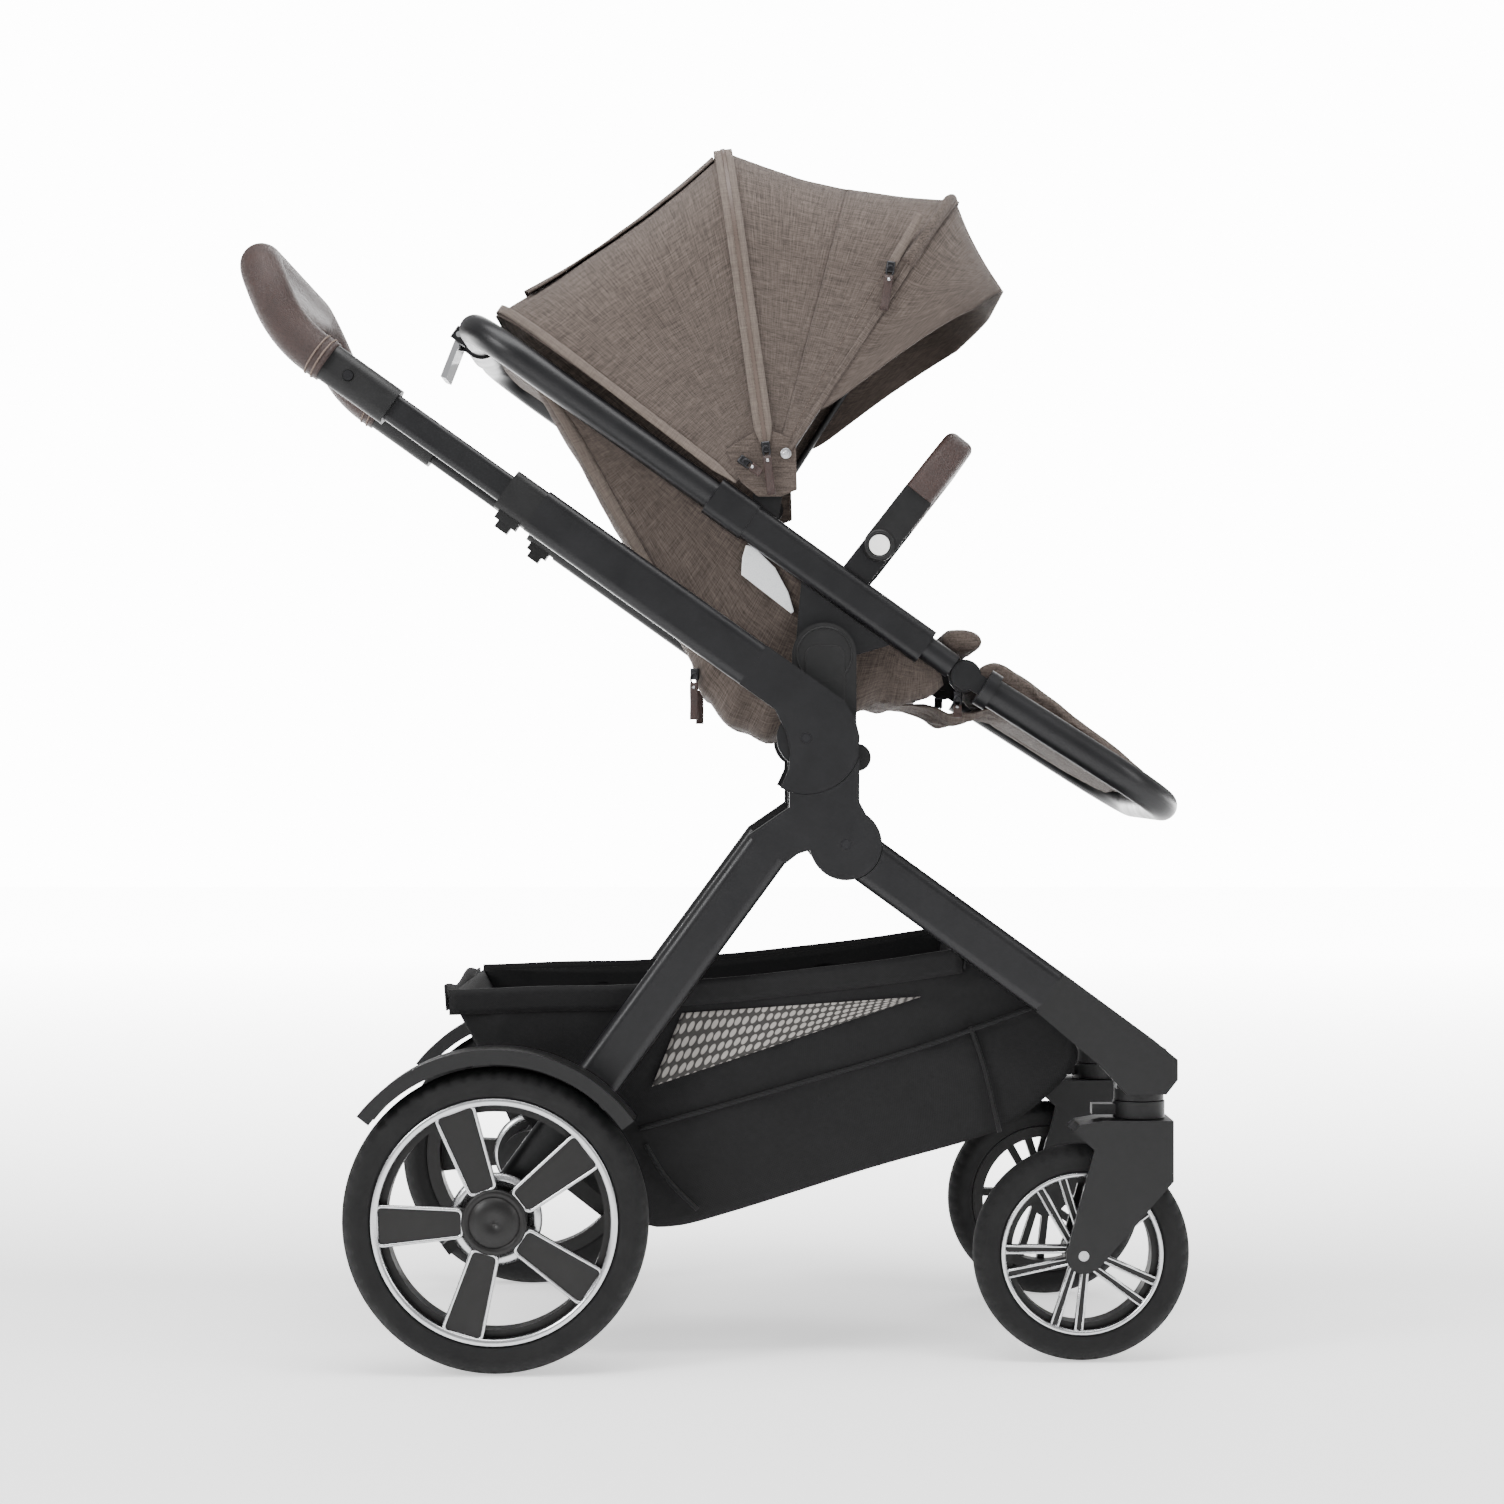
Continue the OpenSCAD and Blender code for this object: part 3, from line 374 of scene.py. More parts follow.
def rounded_spoke(r0, w0, r1, w1, corner, steps=5):
    """Outline of one tapered spoke face with rounded corners, as [along, across]."""
    corners = [(r0, -w0), (r1, -w1), (r1, w1), (r0, w0)]
    out = []
    for i, c in enumerate(corners):
        before, after, here = Vector(corners[i - 1]), Vector(corners[(i + 1) % 4]), Vector(c)
        a = here + (before - here).normalized() * corner
        b = here + (after - here).normalized() * corner
        for k in range(steps + 1):
            t = k / steps
            out.append(tuple(a * (1 - t) ** 2 + here * 2 * t * (1 - t) + b * t ** 2))
    return out


rear_spoke = [rounded_spoke(0.030, 0.0125, 0.1105, 0.0190, 0.006)]
front_spoke = []
for s in (-1, 1):
    front_spoke.append([(0.014, s * 0.0030), (0.0735, s * 0.0085), (0.0740, s * 0.0155), (0.014, s * 0.0085)])

# each tyre is its radius, its width and the radius of its rim
rear_tyre = (0.145, 0.046, 0.117)
front_tyre = (0.1045, 0.042, 0.0785)
rear_spoke_angle = 38
front_spoke_angle = 42
both_sides = ((-1, "right"), (1, "left"))
for side, hand in both_sides:
    rear = pivot(f"rear_wheel_{hand}_spin")
    front = pivot(f"front_wheel_{hand}_spin")
    make_wheel(side, f"rear_{hand}", rear, *rear_tyre, rear_spoke, rear_spoke_angle,
               f"rear_wheel_{hand}", f"rear_tyre_{hand}")
    make_wheel(side, f"front_{hand}", front, *front_tyre, front_spoke, front_spoke_angle,
               f"front_wheel_{hand}", f"front_tyre_{hand}")
    cap_face = side * 0.0195
    cap = lathe(f"wheel_cap_rear_{hand}", rear, [
        (0.0005, cap_face - side * 0.002), (0.031, cap_face - side * 0.002), (0.031, cap_face),
        (0.0295, cap_face + side * 0.0016), (0.0248, cap_face + side * 0.0018),
        (0.0242, cap_face + side * 0.0006), (0.0235, cap_face + side * 0.0006),
        (0.0228, cap_face + side * 0.0024), (0.012, cap_face + side * 0.0032),
        (0.0005, cap_face + side * 0.0034)], rim_nylon, 96)
    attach(cap, f"rear_wheel_{hand}")
    disc = lathe(f"brake_disc_{hand}", rear, [(0.031, -side * 0.004), (0.044, -side * 0.004),
                 (0.044, -side * 0.0065), (0.031, -side * 0.0065)], machined, 96)
    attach(disc, f"rear_wheel_{hand}")

# ---- Frame trims ----------------------------------------------------------
# White reflective labels set in the seat posts, and nylon plates and rims at the recline hubs and
# the bumper buttons. Each trim is bonded to the piece that it sits on.


def extruded(name, outline, y0, y1, material, bevel_mm=0.5):
    """An outline of [x, z] between two planes across the stroller, with broken edges."""
    n = len(outline)
    verts = [(x, y, z) for y in (y0, y1) for x, z in outline]
    faces = [tuple(range(n)), tuple(range(2 * n - 1, n - 1, -1))]
    faces += [(i, n + i, n + (i + 1) % n, (i + 1) % n) for i in range(n)]
    obj = build(name, verts, faces, material, smooth=False)
    edge = obj.modifiers.new("edge_break", "BEVEL")
    edge.width = bevel_mm / 1000
    edge.segments = 2
    edge.limit_method = "ANGLE"
    return obj


def reflective_film():
    material, tree, shader = new_material("reflective_film", Roughness=0.28)
    cell = add(tree, "ShaderNodeTexVoronoi", {"Scale": 0.45, "feature": "DISTANCE_TO_EDGE"},
               Vector=place(tree))
    edge = ramp(tree, cell.outputs["Distance"], 0.0, 0.08)
    tree.links.new(mix(tree, linear("#d9dde0"), linear("#f1f3f4"), edge), shader.inputs["Base Color"])
    bump(tree, shader, edge, 0.03)
    return material


film = reflective_film()
reflector = [(0.0309, 0.7891), (0.0273, 0.7765), (0.0263, 0.7600), (0.0750, 0.7220), (0.0779, 0.7240),
             (0.0720, 0.7434), (0.0593, 0.7668), (0.0389, 0.7872)]
for side, hand in both_sides:
    label = extruded(f"reflector_{hand}", reflector, side * 0.1762, side * 0.1792, film, 1.0)
    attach(label, "seat")

hub_at = pivot("seat_recline")
post_panel = [(hub_at.x - 0.0185, 0.6080), (hub_at.x + 0.0200, 0.6080), (hub_at.x + 0.0200, 0.6800)]
post_panel += [(hub_at.x + 0.0100 + 0.0100 * math.cos(a), 0.6800 + 0.0100 * math.sin(a))
               for a in [math.pi / 2 * k / 6 for k in range(1, 7)]]
post_panel += [(hub_at.x - 0.0085 - 0.0100 * math.sin(a), 0.6800 + 0.0100 * math.cos(a))
               for a in [math.pi / 2 * k / 6 for k in range(7)]]
bumper_pivot = pivot("bumper_swing")
for side, hand in both_sides:
    panel = extruded(f"post_panel_{hand}", post_panel, side * 0.2090, side * 0.2104, nylon, 0.6)
    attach(panel, "chassis")
    hub_rim = lathe(f"recline_rim_{hand}", Vector((hub_at.x, 0, hub_at.z)), [
        (0.0272, side * 0.2094), (0.0272, side * 0.2101), (0.0264, side * 0.2106), (0.0256, side * 0.2101),
        (0.0256, side * 0.2094)], nylon, 96)
    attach(hub_rim, "chassis")
    button_rim = lathe(f"bumper_button_rim_{hand}", Vector((bumper_pivot.x, 0, bumper_pivot.z)), [
        (0.0112, side * 0.1998), (0.0112, side * 0.2012), (0.0122, side * 0.2020), (0.0146, side * 0.2014),
        (0.0152, side * 0.1998)], nylon, 64)
    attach(button_rim, "bumper_bar")

# ---- Leather --------------------------------------------------------------
# Brown grained leather, pulled round the handle, the bumper bar and the carry bar and
# closed with a sewn seam underneath, with a stitched band at each end.


def unit(v):
    return v / max(v.length, 1e-9)


def along(angle):
    return Vector((math.cos(math.radians(angle)), 0, math.sin(math.radians(angle))))


def grained_leather():
    material, tree, shader = new_material("brown_leather", Roughness=0.5, IOR=1.5)
    pore = add(tree, "ShaderNodeTexVoronoi", {"Scale": 0.75, "feature": "DISTANCE_TO_EDGE"},
               Vector=place(tree))
    cell = ramp(tree, pore.outputs["Distance"], 0.0, 0.22)
    cloud = add(tree, "ShaderNodeTexNoise", {"Scale": 0.05, "Detail": 5.0}, Vector=place(tree))
    hide = mix(tree, linear("#24130f"), linear("#3d241d"), cloud.outputs["Fac"])
    tree.links.new(mix(tree, linear("#180c0a"), hide, ramp(tree, cell, 0, 1, 0.35, 1.0)),
                   shader.inputs["Base Color"])
    tree.links.new(ramp(tree, cell, 0, 1, 0.62, 0.44), shader.inputs["Roughness"])
    bump(tree, shader, cell, 0.25, 0.8)
    return material


def sweep(name, path, section, material, up, caps=True):
    """A closed [across, up] section swept along a path; up is a direction never along the path."""
    n, m = len(path), len(section)
    verts = []
    for i, p in enumerate(path):
        t = unit(path[min(i + 1, n - 1)] - path[max(i - 1, 0)])
        u = unit(Vector(up).cross(t))
        v = t.cross(u)
        verts += [p + u * a + v * b for a, b in section]
    faces = [(i * m + k, i * m + (k + 1) % m, (i + 1) * m + (k + 1) % m, (i + 1) * m + k)
             for i in range(n - 1) for k in range(m)]
    if caps:
        faces += [tuple(range(m - 1, -1, -1)), tuple(range((n - 1) * m, n * m))]
    return build(name, verts, faces, material)


def ring(radius, steps=32, squash=1.0):
    return [(radius * math.cos(2 * math.pi * k / steps), radius * squash * math.sin(2 * math.pi * k / steps))
            for k in range(steps)]


def rounded_box(w, h, r, steps=6):
    out = []
    for cx, cy, a0 in ((w / 2 - r, h / 2 - r, 0), (r - w / 2, h / 2 - r, 90), (r - w / 2, r - h / 2, 180),
                       (w / 2 - r, r - h / 2, 270)):
        for k in range(steps + 1):
            a = math.radians(a0 + 90 * k / steps)
            out.append((cx + r * math.cos(a), cy + r * math.sin(a)))
    return out


def stitches(name, points, normal, material, pitch_mm=4.5, length_mm=3.0, thick_mm=0.8):
    """A row of short thread stitches, spaced along the points and lying on the surface."""
    verts, faces = [], []
    travelled, due = 0.0, 0.0
    for a, b in zip(points, points[1:]):
        span = (b - a).length
        while due <= travelled + span and span > 0:
            p = a.lerp(b, (due - travelled) / span)
            t = unit(b - a)
            side = unit(Vector(normal).cross(t)) * thick_mm / 2000
            lift = unit(t.cross(side)) * thick_mm / 2000
            half = t * length_mm / 2000
            k = len(verts)
            verts += [p - half, p + side, p + lift * 1.3, p - side, p - lift, p + half]
            for i in range(4):
                faces += [(k, k + 1 + i, k + 1 + (i + 1) % 4), (k + 5, k + 1 + (i + 1) % 4, k + 1 + i)]
            due += pitch_mm / 1000
        travelled += span
    return build(name, verts, faces, material)


def sewing_thread():
    material, tree, shader = new_material("sewing_thread", Roughness=0.75)
    twist = add(tree, "ShaderNodeTexWave", {"Scale": 1.2, "Distortion": 0.6}, Vector=place(tree))
    tree.links.new(mix(tree, linear("#4a3c35"), linear("#7d6d62"), twist.outputs["Fac"]),
                   shader.inputs["Base Color"])
    return material


leather = grained_leather()
thread = sewing_thread()
handle_half = 0.225
handle_a = 144.5
handle_end_a = handle_a - 31
handle_bend = 0.120
handle_corner = 0.046
grip_from = Vector((0.1046, 0, 0.62305)) + along(handle_a) * 0.582
bend_from = grip_from + along(handle_a) * 0.014
bend_centre = bend_from + along(handle_a - 90) * handle_bend
bend_to = bend_centre + along(handle_end_a + 90) * handle_bend
half_path = [Vector((p.x, -handle_half, p.z)) for p in
             [grip_from + along(handle_a) * 0.0006 * k for k in range(0, 24, 4)]
             + [bend_centre + along(handle_a + 90 - 31 * i / 14) * handle_bend for i in range(15)]]
half_path += [bend_to + along(handle_end_a) * handle_corner * math.sin(math.radians(6 * i))
              + Vector((0, -handle_half + handle_corner * (1 - math.cos(math.radians(6 * i))), 0))
              for i in range(1, 16)]
grip_path = half_path + [Vector((half_path[-1].x, y / 1000, half_path[-1].z)) for y in range(-160, 161, 20)]
grip_path += [Vector((p.x, -p.y, p.z)) for p in reversed(half_path)]
grip = sweep("handle_leather", grip_path, ring(0.0208, 40), leather, along(handle_end_a + 90))
for vertex in grip.data.vertices:
    lump = noise.noise(vertex.co * 60) * 0.00025
    vertex.co += Vector((lump, lump, -lump))
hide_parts("handle_grip")
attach(grip, "handle")
for side, hand in both_sides:
    for k, d in enumerate((0.006, 0.013)):
        p = grip_from + along(handle_a) * d
        centre = Vector((p.x, side * handle_half, p.z))
        loop = [centre + along(handle_a + 90) * 0.0212 * math.cos(a) + Vector((0, 0.0212 * math.sin(a), 0))
                for a in [2 * math.pi * i / 48 for i in range(49)]]
        bead = sweep(f"handle_seam_{k}_{hand}", loop, ring(0.0009, 8), thread, along(handle_a), caps=False)
        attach(bead, "handle")

bumper_at, bumper_dir = Vector((0.160, 0, 0.7875)), 52
arm = 0.193
corner = 0.060
bumper_path = [bumper_at + along(bumper_dir) * d + Vector((0, -arm, 0)) for d in (0.0622, 0.0624, 0.066)]
bumper_path += [bumper_at + along(bumper_dir) * (0.068 + corner * math.sin(math.radians(6 * i)))
                + Vector((0, -arm + corner * (1 - math.cos(math.radians(6 * i))), 0)) for i in range(16)]
bumper_path += [Vector((bumper_path[-1].x, y / 1000, bumper_path[-1].z)) for y in range(-120, 1, 15)]
bumper_path += [Vector((p.x, -p.y, p.z)) for p in reversed(bumper_path[:-1])]
bumper_skin = sweep("bumper_leather", bumper_path, rounded_box(0.0196, 0.0308, 0.0085), leather,
                    along(bumper_dir + 90))
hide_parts("bumper_grip")
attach(bumper_skin, "bumper_bar")
seam_line = [p + along(bumper_dir) * -0.0100 for p in bumper_path[4:-4]]
bumper_seam = stitches("bumper_stitches", seam_line, along(bumper_dir), thread)
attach(bumper_seam, "bumper_bar")
finish_cad(leather, ["carry_bar"], 1.0)

# ---- Seat cover -----------------------------------------------------------
# A sewn sling of melange cloth, hung inside the seat rails and closed under the child.
# It is gathered where the back turns into the pan, and bound with tape along the back.


def surface(name, rows, material, thickness_mm=0.0, offset=0.0, smooth=True):
    """Cloth through rows of points, mapped flat in millimetres, and thickened if asked."""
    n, m = len(rows), len(rows[0])
    faces = [(i * m + j, i * m + j + 1, (i + 1) * m + j + 1, (i + 1) * m + j)
             for i in range(n - 1) for j in range(m - 1)]
    obj = build(name, [p for row in rows for p in row], faces, material, smooth)
    across, down = [0.0], [0.0]
    for j in range(m - 1):
        across.append(across[-1] + sum((row[j + 1] - row[j]).length for row in rows) / n)
    for i in range(n - 1):
        down.append(down[-1] + sum((b - a).length for a, b in zip(rows[i], rows[i + 1])) / m)
    layer = obj.data.uv_layers.new(name="cloth")
    for item in obj.data.loops:
        k = item.vertex_index
        layer.data[item.index].uv = (across[k % m] * 1000, down[k // m] * 1000)
    if thickness_mm:
        solid = obj.modifiers.new("cloth_thickness", "SOLIDIFY")
        solid.thickness = thickness_mm / 1000
        solid.offset = offset
    return obj


def smooth_line(points, steps):
    """A smooth line through [x, z] points, at even steps."""
    p = [Vector((x / 1000, 0, z / 1000)) for x, z in points]
    p = [p[0] * 2 - p[1]] + p + [p[-1] * 2 - p[-2]]
    fine = []
    for i in range(1, len(p) - 2):
        for k in range(16):
            t = k / 16
            fine.append(0.5 * (2 * p[i] + (p[i + 1] - p[i - 1]) * t
                               + (2 * p[i - 1] - 5 * p[i] + 4 * p[i + 1] - p[i + 2]) * t * t
                               + (3 * p[i] - p[i - 1] - 3 * p[i + 1] + p[i + 2]) * t ** 3))
    fine.append(p[-2])
    total = [0.0]
    for a, b in zip(fine, fine[1:]):
        total.append(total[-1] + (b - a).length)
    out, k = [], 0
    for i in range(steps + 1):
        want = total[-1] * i / steps
        while k < len(fine) - 2 and total[k + 1] < want:
            k += 1
        out.append(fine[k].lerp(fine[k + 1], (want - total[k]) / max(total[k + 1] - total[k], 1e-9)))
    return out


def melange(name, dark, light, uv=True, weave=0.7):
    """Two-tone yarns crossing in a plain weave, with slubs along both ways of the cloth."""
    material, tree, shader = new_material(name, Roughness=0.9, IOR=1.45)
    shader.inputs["Sheen Weight"].default_value = 0.05
    shader.inputs["Sheen Roughness"].default_value = 0.5
    if uv:
        where = add(tree, "ShaderNodeUVMap", {"uv_map": "cloth"}).outputs["UV"]
    else:
        where = place(tree)
    streaks = []
    for scale in ((0.025, 0.75, 0.6), (0.75, 0.025, 0.6), (0.09, 1.3, 1.0), (1.3, 0.09, 1.0)):
        mapped = add(tree, "ShaderNodeMapping", {"Scale": scale}, Vector=where)
        grain = add(tree, "ShaderNodeTexNoise", {"Scale": 1.0, "Detail": 3.0, "Roughness": 0.6},
                    Vector=mapped.outputs["Vector"])
        streaks.append(ramp(tree, grain.outputs["Fac"], 0.36, 0.66))
    total = streaks[0]
    for other in streaks[1:]:
        total = add(tree, "ShaderNodeMath", {"operation": "ADD"}, i0=total, i1=other).outputs[0]
    shade = ramp(tree, total, 0.9, 3.1)
    tree.links.new(mix(tree, linear(dark), linear(light), shade), shader.inputs["Base Color"])
    waves = []
    for turn in (0.0, math.pi / 2):
        mapped = add(tree, "ShaderNodeMapping", {"Rotation": (0, 0, turn)}, Vector=where)
        wave = add(tree, "ShaderNodeTexWave", {"Scale": weave, "Distortion": 0.8},
                   Vector=mapped.outputs["Vector"])
        waves.append(wave.outputs["Fac"])
    rib = add(tree, "ShaderNodeMath", {"operation": "ADD"}, i0=waves[0], i1=waves[1]).outputs[0]
    both = add(tree, "ShaderNodeMath", {"operation": "MULTIPLY_ADD"}, i0=total, i2=rib)
    both.inputs[1].default_value = 0.6
    bump(tree, shader, both.outputs[0], 0.16, 0.7)
    return material


cloth_cover = melange("taupe_melange", "#362d28", "#655a53")
cloth_plump = melange("taupe_melange_pad", "#342b26", "#60554e", uv=False)
tape = melange("taupe_tape", "#5c524b", "#756a62", weave=1.2)

seat_half = 0.1722
low_line = smooth_line([(-186, 966), (-102, 815), (-33, 696), (-15, 650), (6, 624), (30, 606), (56, 600),
                        (80, 606), (140, 628), (178, 634), (205, 640), (224, 654)], 96)
high_from, high_to = Vector((-0.170, 0, 0.9450)), Vector((0.2180, 0, 0.6750))
side_cols, turn_cols, floor_cols = 16, 6, 22
rows = []
total_low = len(low_line) - 1
for i, low in enumerate(low_line):
    t = i / total_low
    high = high_from.lerp(high_to, t ** 0.92)
    span = low - high
    turn = min(0.026, span.length * 0.35)
    down = unit(span)
    half_row = []
    for j in range(side_cols):
        s = j / side_cols
        p = high + down * (span.length - turn) * s
        half_row.append((p, seat_half, s))
    for j in range(turn_cols + 1):
        a = math.pi / 2 * j / turn_cols
        p = high + down * (span.length - turn + turn * math.sin(a))
        half_row.append((p, seat_half - turn * (1 - math.cos(a)), 1.0))
    row = []
    for p, y, s in half_row:
        row.append(Vector((p.x, y, p.z)))
    flat_y = half_row[-1][1]
    for j in range(1, floor_cols):
        row.append(Vector((low.x, flat_y * (1 - 2 * j / floor_cols), low.z)))
    for p, y, s in reversed(half_row):
        row.append(Vector((p.x, -y, p.z)))
    # puckers run down to the gathered lower edge, and slack cloth sags under the pan
    gather = max(0.0, min(1.0, (t - 0.42) / 0.12)) * max(0.0, min(1.0, (1.02 - t) / 0.1))
    for k, q in enumerate(row):
        edge = min(1.0, (high - Vector((q.x, 0, q.z))).length / max(span.length, 1e-6))
        side = -1 if q.y < 0 else 1
        pucker = math.sin(i * 0.95 + 2.2 * noise.noise(q * 14)) * 0.0022 * gather * edge ** 2
        slack = noise.noise(Vector((q.x * 16, q.y * 7 + side * 3, q.z * 16))) * 0.0046
        fold = noise.noise(Vector((q.x * 42, q.y * 20, q.z * 42 + 9))) * 0.0016
        on_side = abs(q.y) > flat_y
        amount = pucker + (slack + fold) * (0.35 + 0.65 * gather) * math.sin(math.pi * min(edge, 0.98) * 0.9)
        if on_side:
            q.y += side * max(-0.006, min(0.0028, amount))
        out = unit(Vector((-1, 0, -0.6))) if t < 0.5 else Vector((0, 0, -1))
        q += out * (pucker * 1.3 + (slack + fold) * 0.7 * edge)
    rows.append(row)
seat_cover = surface("seat_cover", rows, cloth_cover, 1.4, 1.0)
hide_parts("seat_shell")
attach(seat_cover, "seat")

for side, hand in both_sides:
    strip = []
    for i in range(0, 46):
        low = low_line[i]
        inward = unit(high_from.lerp(high_to, (i / total_low) ** 0.92) - low)
        strip.append([Vector((p.x, side * (seat_half + 0.0022 - 0.0008 * k), p.z)) for k, p in
                      enumerate((low + inward * 0.0040, low + inward * 0.0095, low + inward * 0.0150))])
    binding = surface(f"seat_binding_{hand}", strip, tape, 1.2)
    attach(binding, "seat")
top_line = smooth_line([(-231, 1000), (-214, 984), (-199, 974), (-184, 963)], 12)
rows = [[Vector((p.x, y / 1000, p.z + 0.002 * noise.noise(Vector((p.x * 20, y / 60, 2)))))
         for y in range(-172, 173, 8)] for p in top_line]
back_yoke = surface("seat_back_yoke", rows, cloth_cover, 1.4)
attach(back_yoke, "seat")

# ---- Seat pad -------------------------------------------------------------
# A thick foam liner in the same cloth, quilted across the back and the pan, with a rolled
# front edge. The filling swells it between its seams.


def offset_line(line, by):
    out = []
    for i, p in enumerate(line):
        t = unit(line[min(i + 1, len(line) - 1)] - line[max(i - 1, 0)])
        out.append(p + Vector((-t.z, 0, t.x)) * by)
    return out


def stuffed(name, outline, half, material, voxel_mm, cap_mm, swell=4.0, groove=None):
    """A cushion from an outline in the side view, filled until it swells, then seamed by groove(p)."""
    n = len(outline)
    rings = [-half, -half * 0.5, 0, half * 0.5, half]
    verts = [Vector((p.x, y, p.z)) for y in rings for p in outline]
    faces = [(k * n + i, k * n + (i + 1) % n, (k + 1) * n + (i + 1) % n, (k + 1) * n + i)
             for k in range(len(rings) - 1) for i in range(n)]
    faces += [tuple(range(n - 1, -1, -1)), tuple(range(4 * n, 5 * n))]
    obj = build(name, verts, faces, material)
    remesh = obj.modifiers.new("even_mesh", "REMESH")
    remesh.mode = "VOXEL"
    remesh.voxel_size = voxel_mm / 1000

    def settle():
        graph = bpy.context.evaluated_depsgraph_get()
        mesh = bpy.data.meshes.new_from_object(obj.evaluated_get(graph))
        obj.modifiers.clear()
        obj.data = mesh
        return np.array([v.co for v in mesh.vertices])

    rest = settle()
    relax = obj.modifiers.new("round_edges", "SMOOTH")
    relax.iterations = 6
    rest = settle()
    filling = obj.modifiers.new("filling", "CLOTH")
    filling.settings.use_pressure = True
    filling.settings.uniform_pressure_force = swell
    filling.settings.effector_weights.gravity = 0
    filling.settings.quality = 4
    filling.settings.shrink_min = -0.06
    for frame_number in range(1, 21):
        scene.frame_set(frame_number)
    graph = bpy.context.evaluated_depsgraph_get()
    swollen = bpy.data.meshes.new_from_object(obj.evaluated_get(graph))
    moved = np.array([v.co for v in swollen.vertices]) - rest
    scene.frame_set(1)
    obj.modifiers.clear()
    length = np.linalg.norm(moved, axis=1, keepdims=True)
    moved *= np.minimum(1.0, cap_mm / 1000 / np.maximum(length, 1e-9))
    obj.data.vertices.foreach_set("co", (rest + moved).ravel())
    obj.data.update()
    finer = obj.modifiers.new("soften", "SUBSURF")
    finer.levels = finer.render_levels = 1
    settle()
    if groove:
        obj.data.update()
        normals = [v.normal.copy() for v in obj.data.vertices]
        for vertex, normal in zip(obj.data.vertices, normals):
            vertex.co -= normal * groove(vertex.co)
    obj.data.materials.clear()
    obj.data.materials.append(material)
    obj.data.shade_smooth()
    return obj


def valley(distance, width, depth):
    return depth * math.exp(-(distance / width) ** 2)


pad_low = offset_line(low_line[3:-2], 0.0085)
pad_high = offset_line(low_line[3:-2], 0.0280)
pad_outline = pad_low[::2] + pad_high[::-2]


def quilting(p):
    """Seams across the pad every 95 mm of its back, and two down its length."""
    down_back = (p - low_line[0]).dot(unit(low_line[40] - low_line[0]))
    if p.x > 0.02:
        down_back = 0.36 + p.x
    near = abs((down_back + 0.05) % 0.095 - 0.0475)
    seam = valley(abs(near - 0.0475), 0.004, 0.0035) if p.x < 0.2 else 0.0
    return max(seam, valley(abs(abs(p.y) - 0.118), 0.004, 0.0040))


seat_pad = stuffed("seat_pad_cushion", pad_outline, 0.160, cloth_plump, 6.0, 7.0, groove=quilting)
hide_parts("seat_pad")
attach(seat_pad, "seat")

roll_outline = [Vector((0.2430, 0, 0.6960))
                + Vector((0.0235 * math.cos(a) * 0.82 + 0.0120 * math.sin(a) * 0.57, 0,
                          0.0120 * math.sin(a) * 0.82 - 0.0235 * math.cos(a) * 0.2))
                for a in [2 * math.pi * k / 20 for k in range(20)]]
front_roll = stuffed("seat_front_roll", roll_outline, 0.158, cloth_plump, 4.0, 5.0,
                     groove=lambda p: 0.0010 * noise.noise(p * 55))
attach(front_roll, "seat")

# ---- Calf rest ------------------------------------------------------------
# A padded cover pulled over the loop, and a slack gathered panel that joins it to the seat
# across the hinge.
calf_from, calf_dir = Vector((0.2435, 0, 0.6613)), -32.5


def on_calf(d, up, y=0.0):
    return calf_from + along(calf_dir) * d + along(calf_dir + 90) * up + Vector((0, y, 0))


calf_outline = [on_calf(d / 1000, u / 1000) for d, u in
                [(8, 6), (10, 22), (22, 29), (50, 28), (90, 24), (130, 20), (175, 17), (208, 13), (219, 4),
                 (210, -3), (150, -5), (90, -5), (34, -5)]]
calf_cover = stuffed("calf_cushion", calf_outline, 0.171, cloth_plump, 5.0, 5.0,
                     groove=lambda p: (valley(abs(abs(p.y) - 0.120), 0.004, 0.003)
                                       - 0.0014 * noise.noise(p * 38)))
for vertex in calf_cover.data.vertices:
    far = max(0.0, (vertex.co - calf_from).dot(along(calf_dir)) - 0.166)
    limit = 0.120 + math.sqrt(max(0.0, 0.0545 ** 2 - far ** 2))
    vertex.co.y = max(-limit, min(limit, vertex.co.y))
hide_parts("calf_pad")
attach(calf_cover, "calf_rest")

hinge_line = smooth_line([(178, 633), (205, 632), (230, 622), (252, 622), (272, 626), (300, 616)], 26)
rows = []
for i, p in enumerate(hinge_line):
    row = []
    for j in range(61):
        y = -0.150 + 0.300 * j / 60
        ripple = math.sin(j * 1.15 + 1.8 * noise.noise(Vector((p.x * 30, y * 30, 0)))) * 0.0035
        ripple *= math.sin(math.pi * i / 26)
        sag = noise.noise(Vector((p.x * 40, y * 22, 4))) * 0.006 * math.sin(math.pi * i / 26)
        row.append(Vector((p.x + sag * 0.5, y, p.z + ripple + sag)))
    rows.append(row)
gather_panel = surface("calf_gather", rows, cloth_cover, 1.0)
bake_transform(gather_panel)

# ---- Hood -----------------------------------------------------------------
# Panels of melange cloth, stretched over wire bows that turn on one hinge at each
# side. A zip closes the panels over the middle bow, another runs along the seat back, and
# the visor folds out from under the front edge.
hood_at = Vector((0.0545, 0, 0.8510))
hood_half = 0.197
hood_corner = 0.105


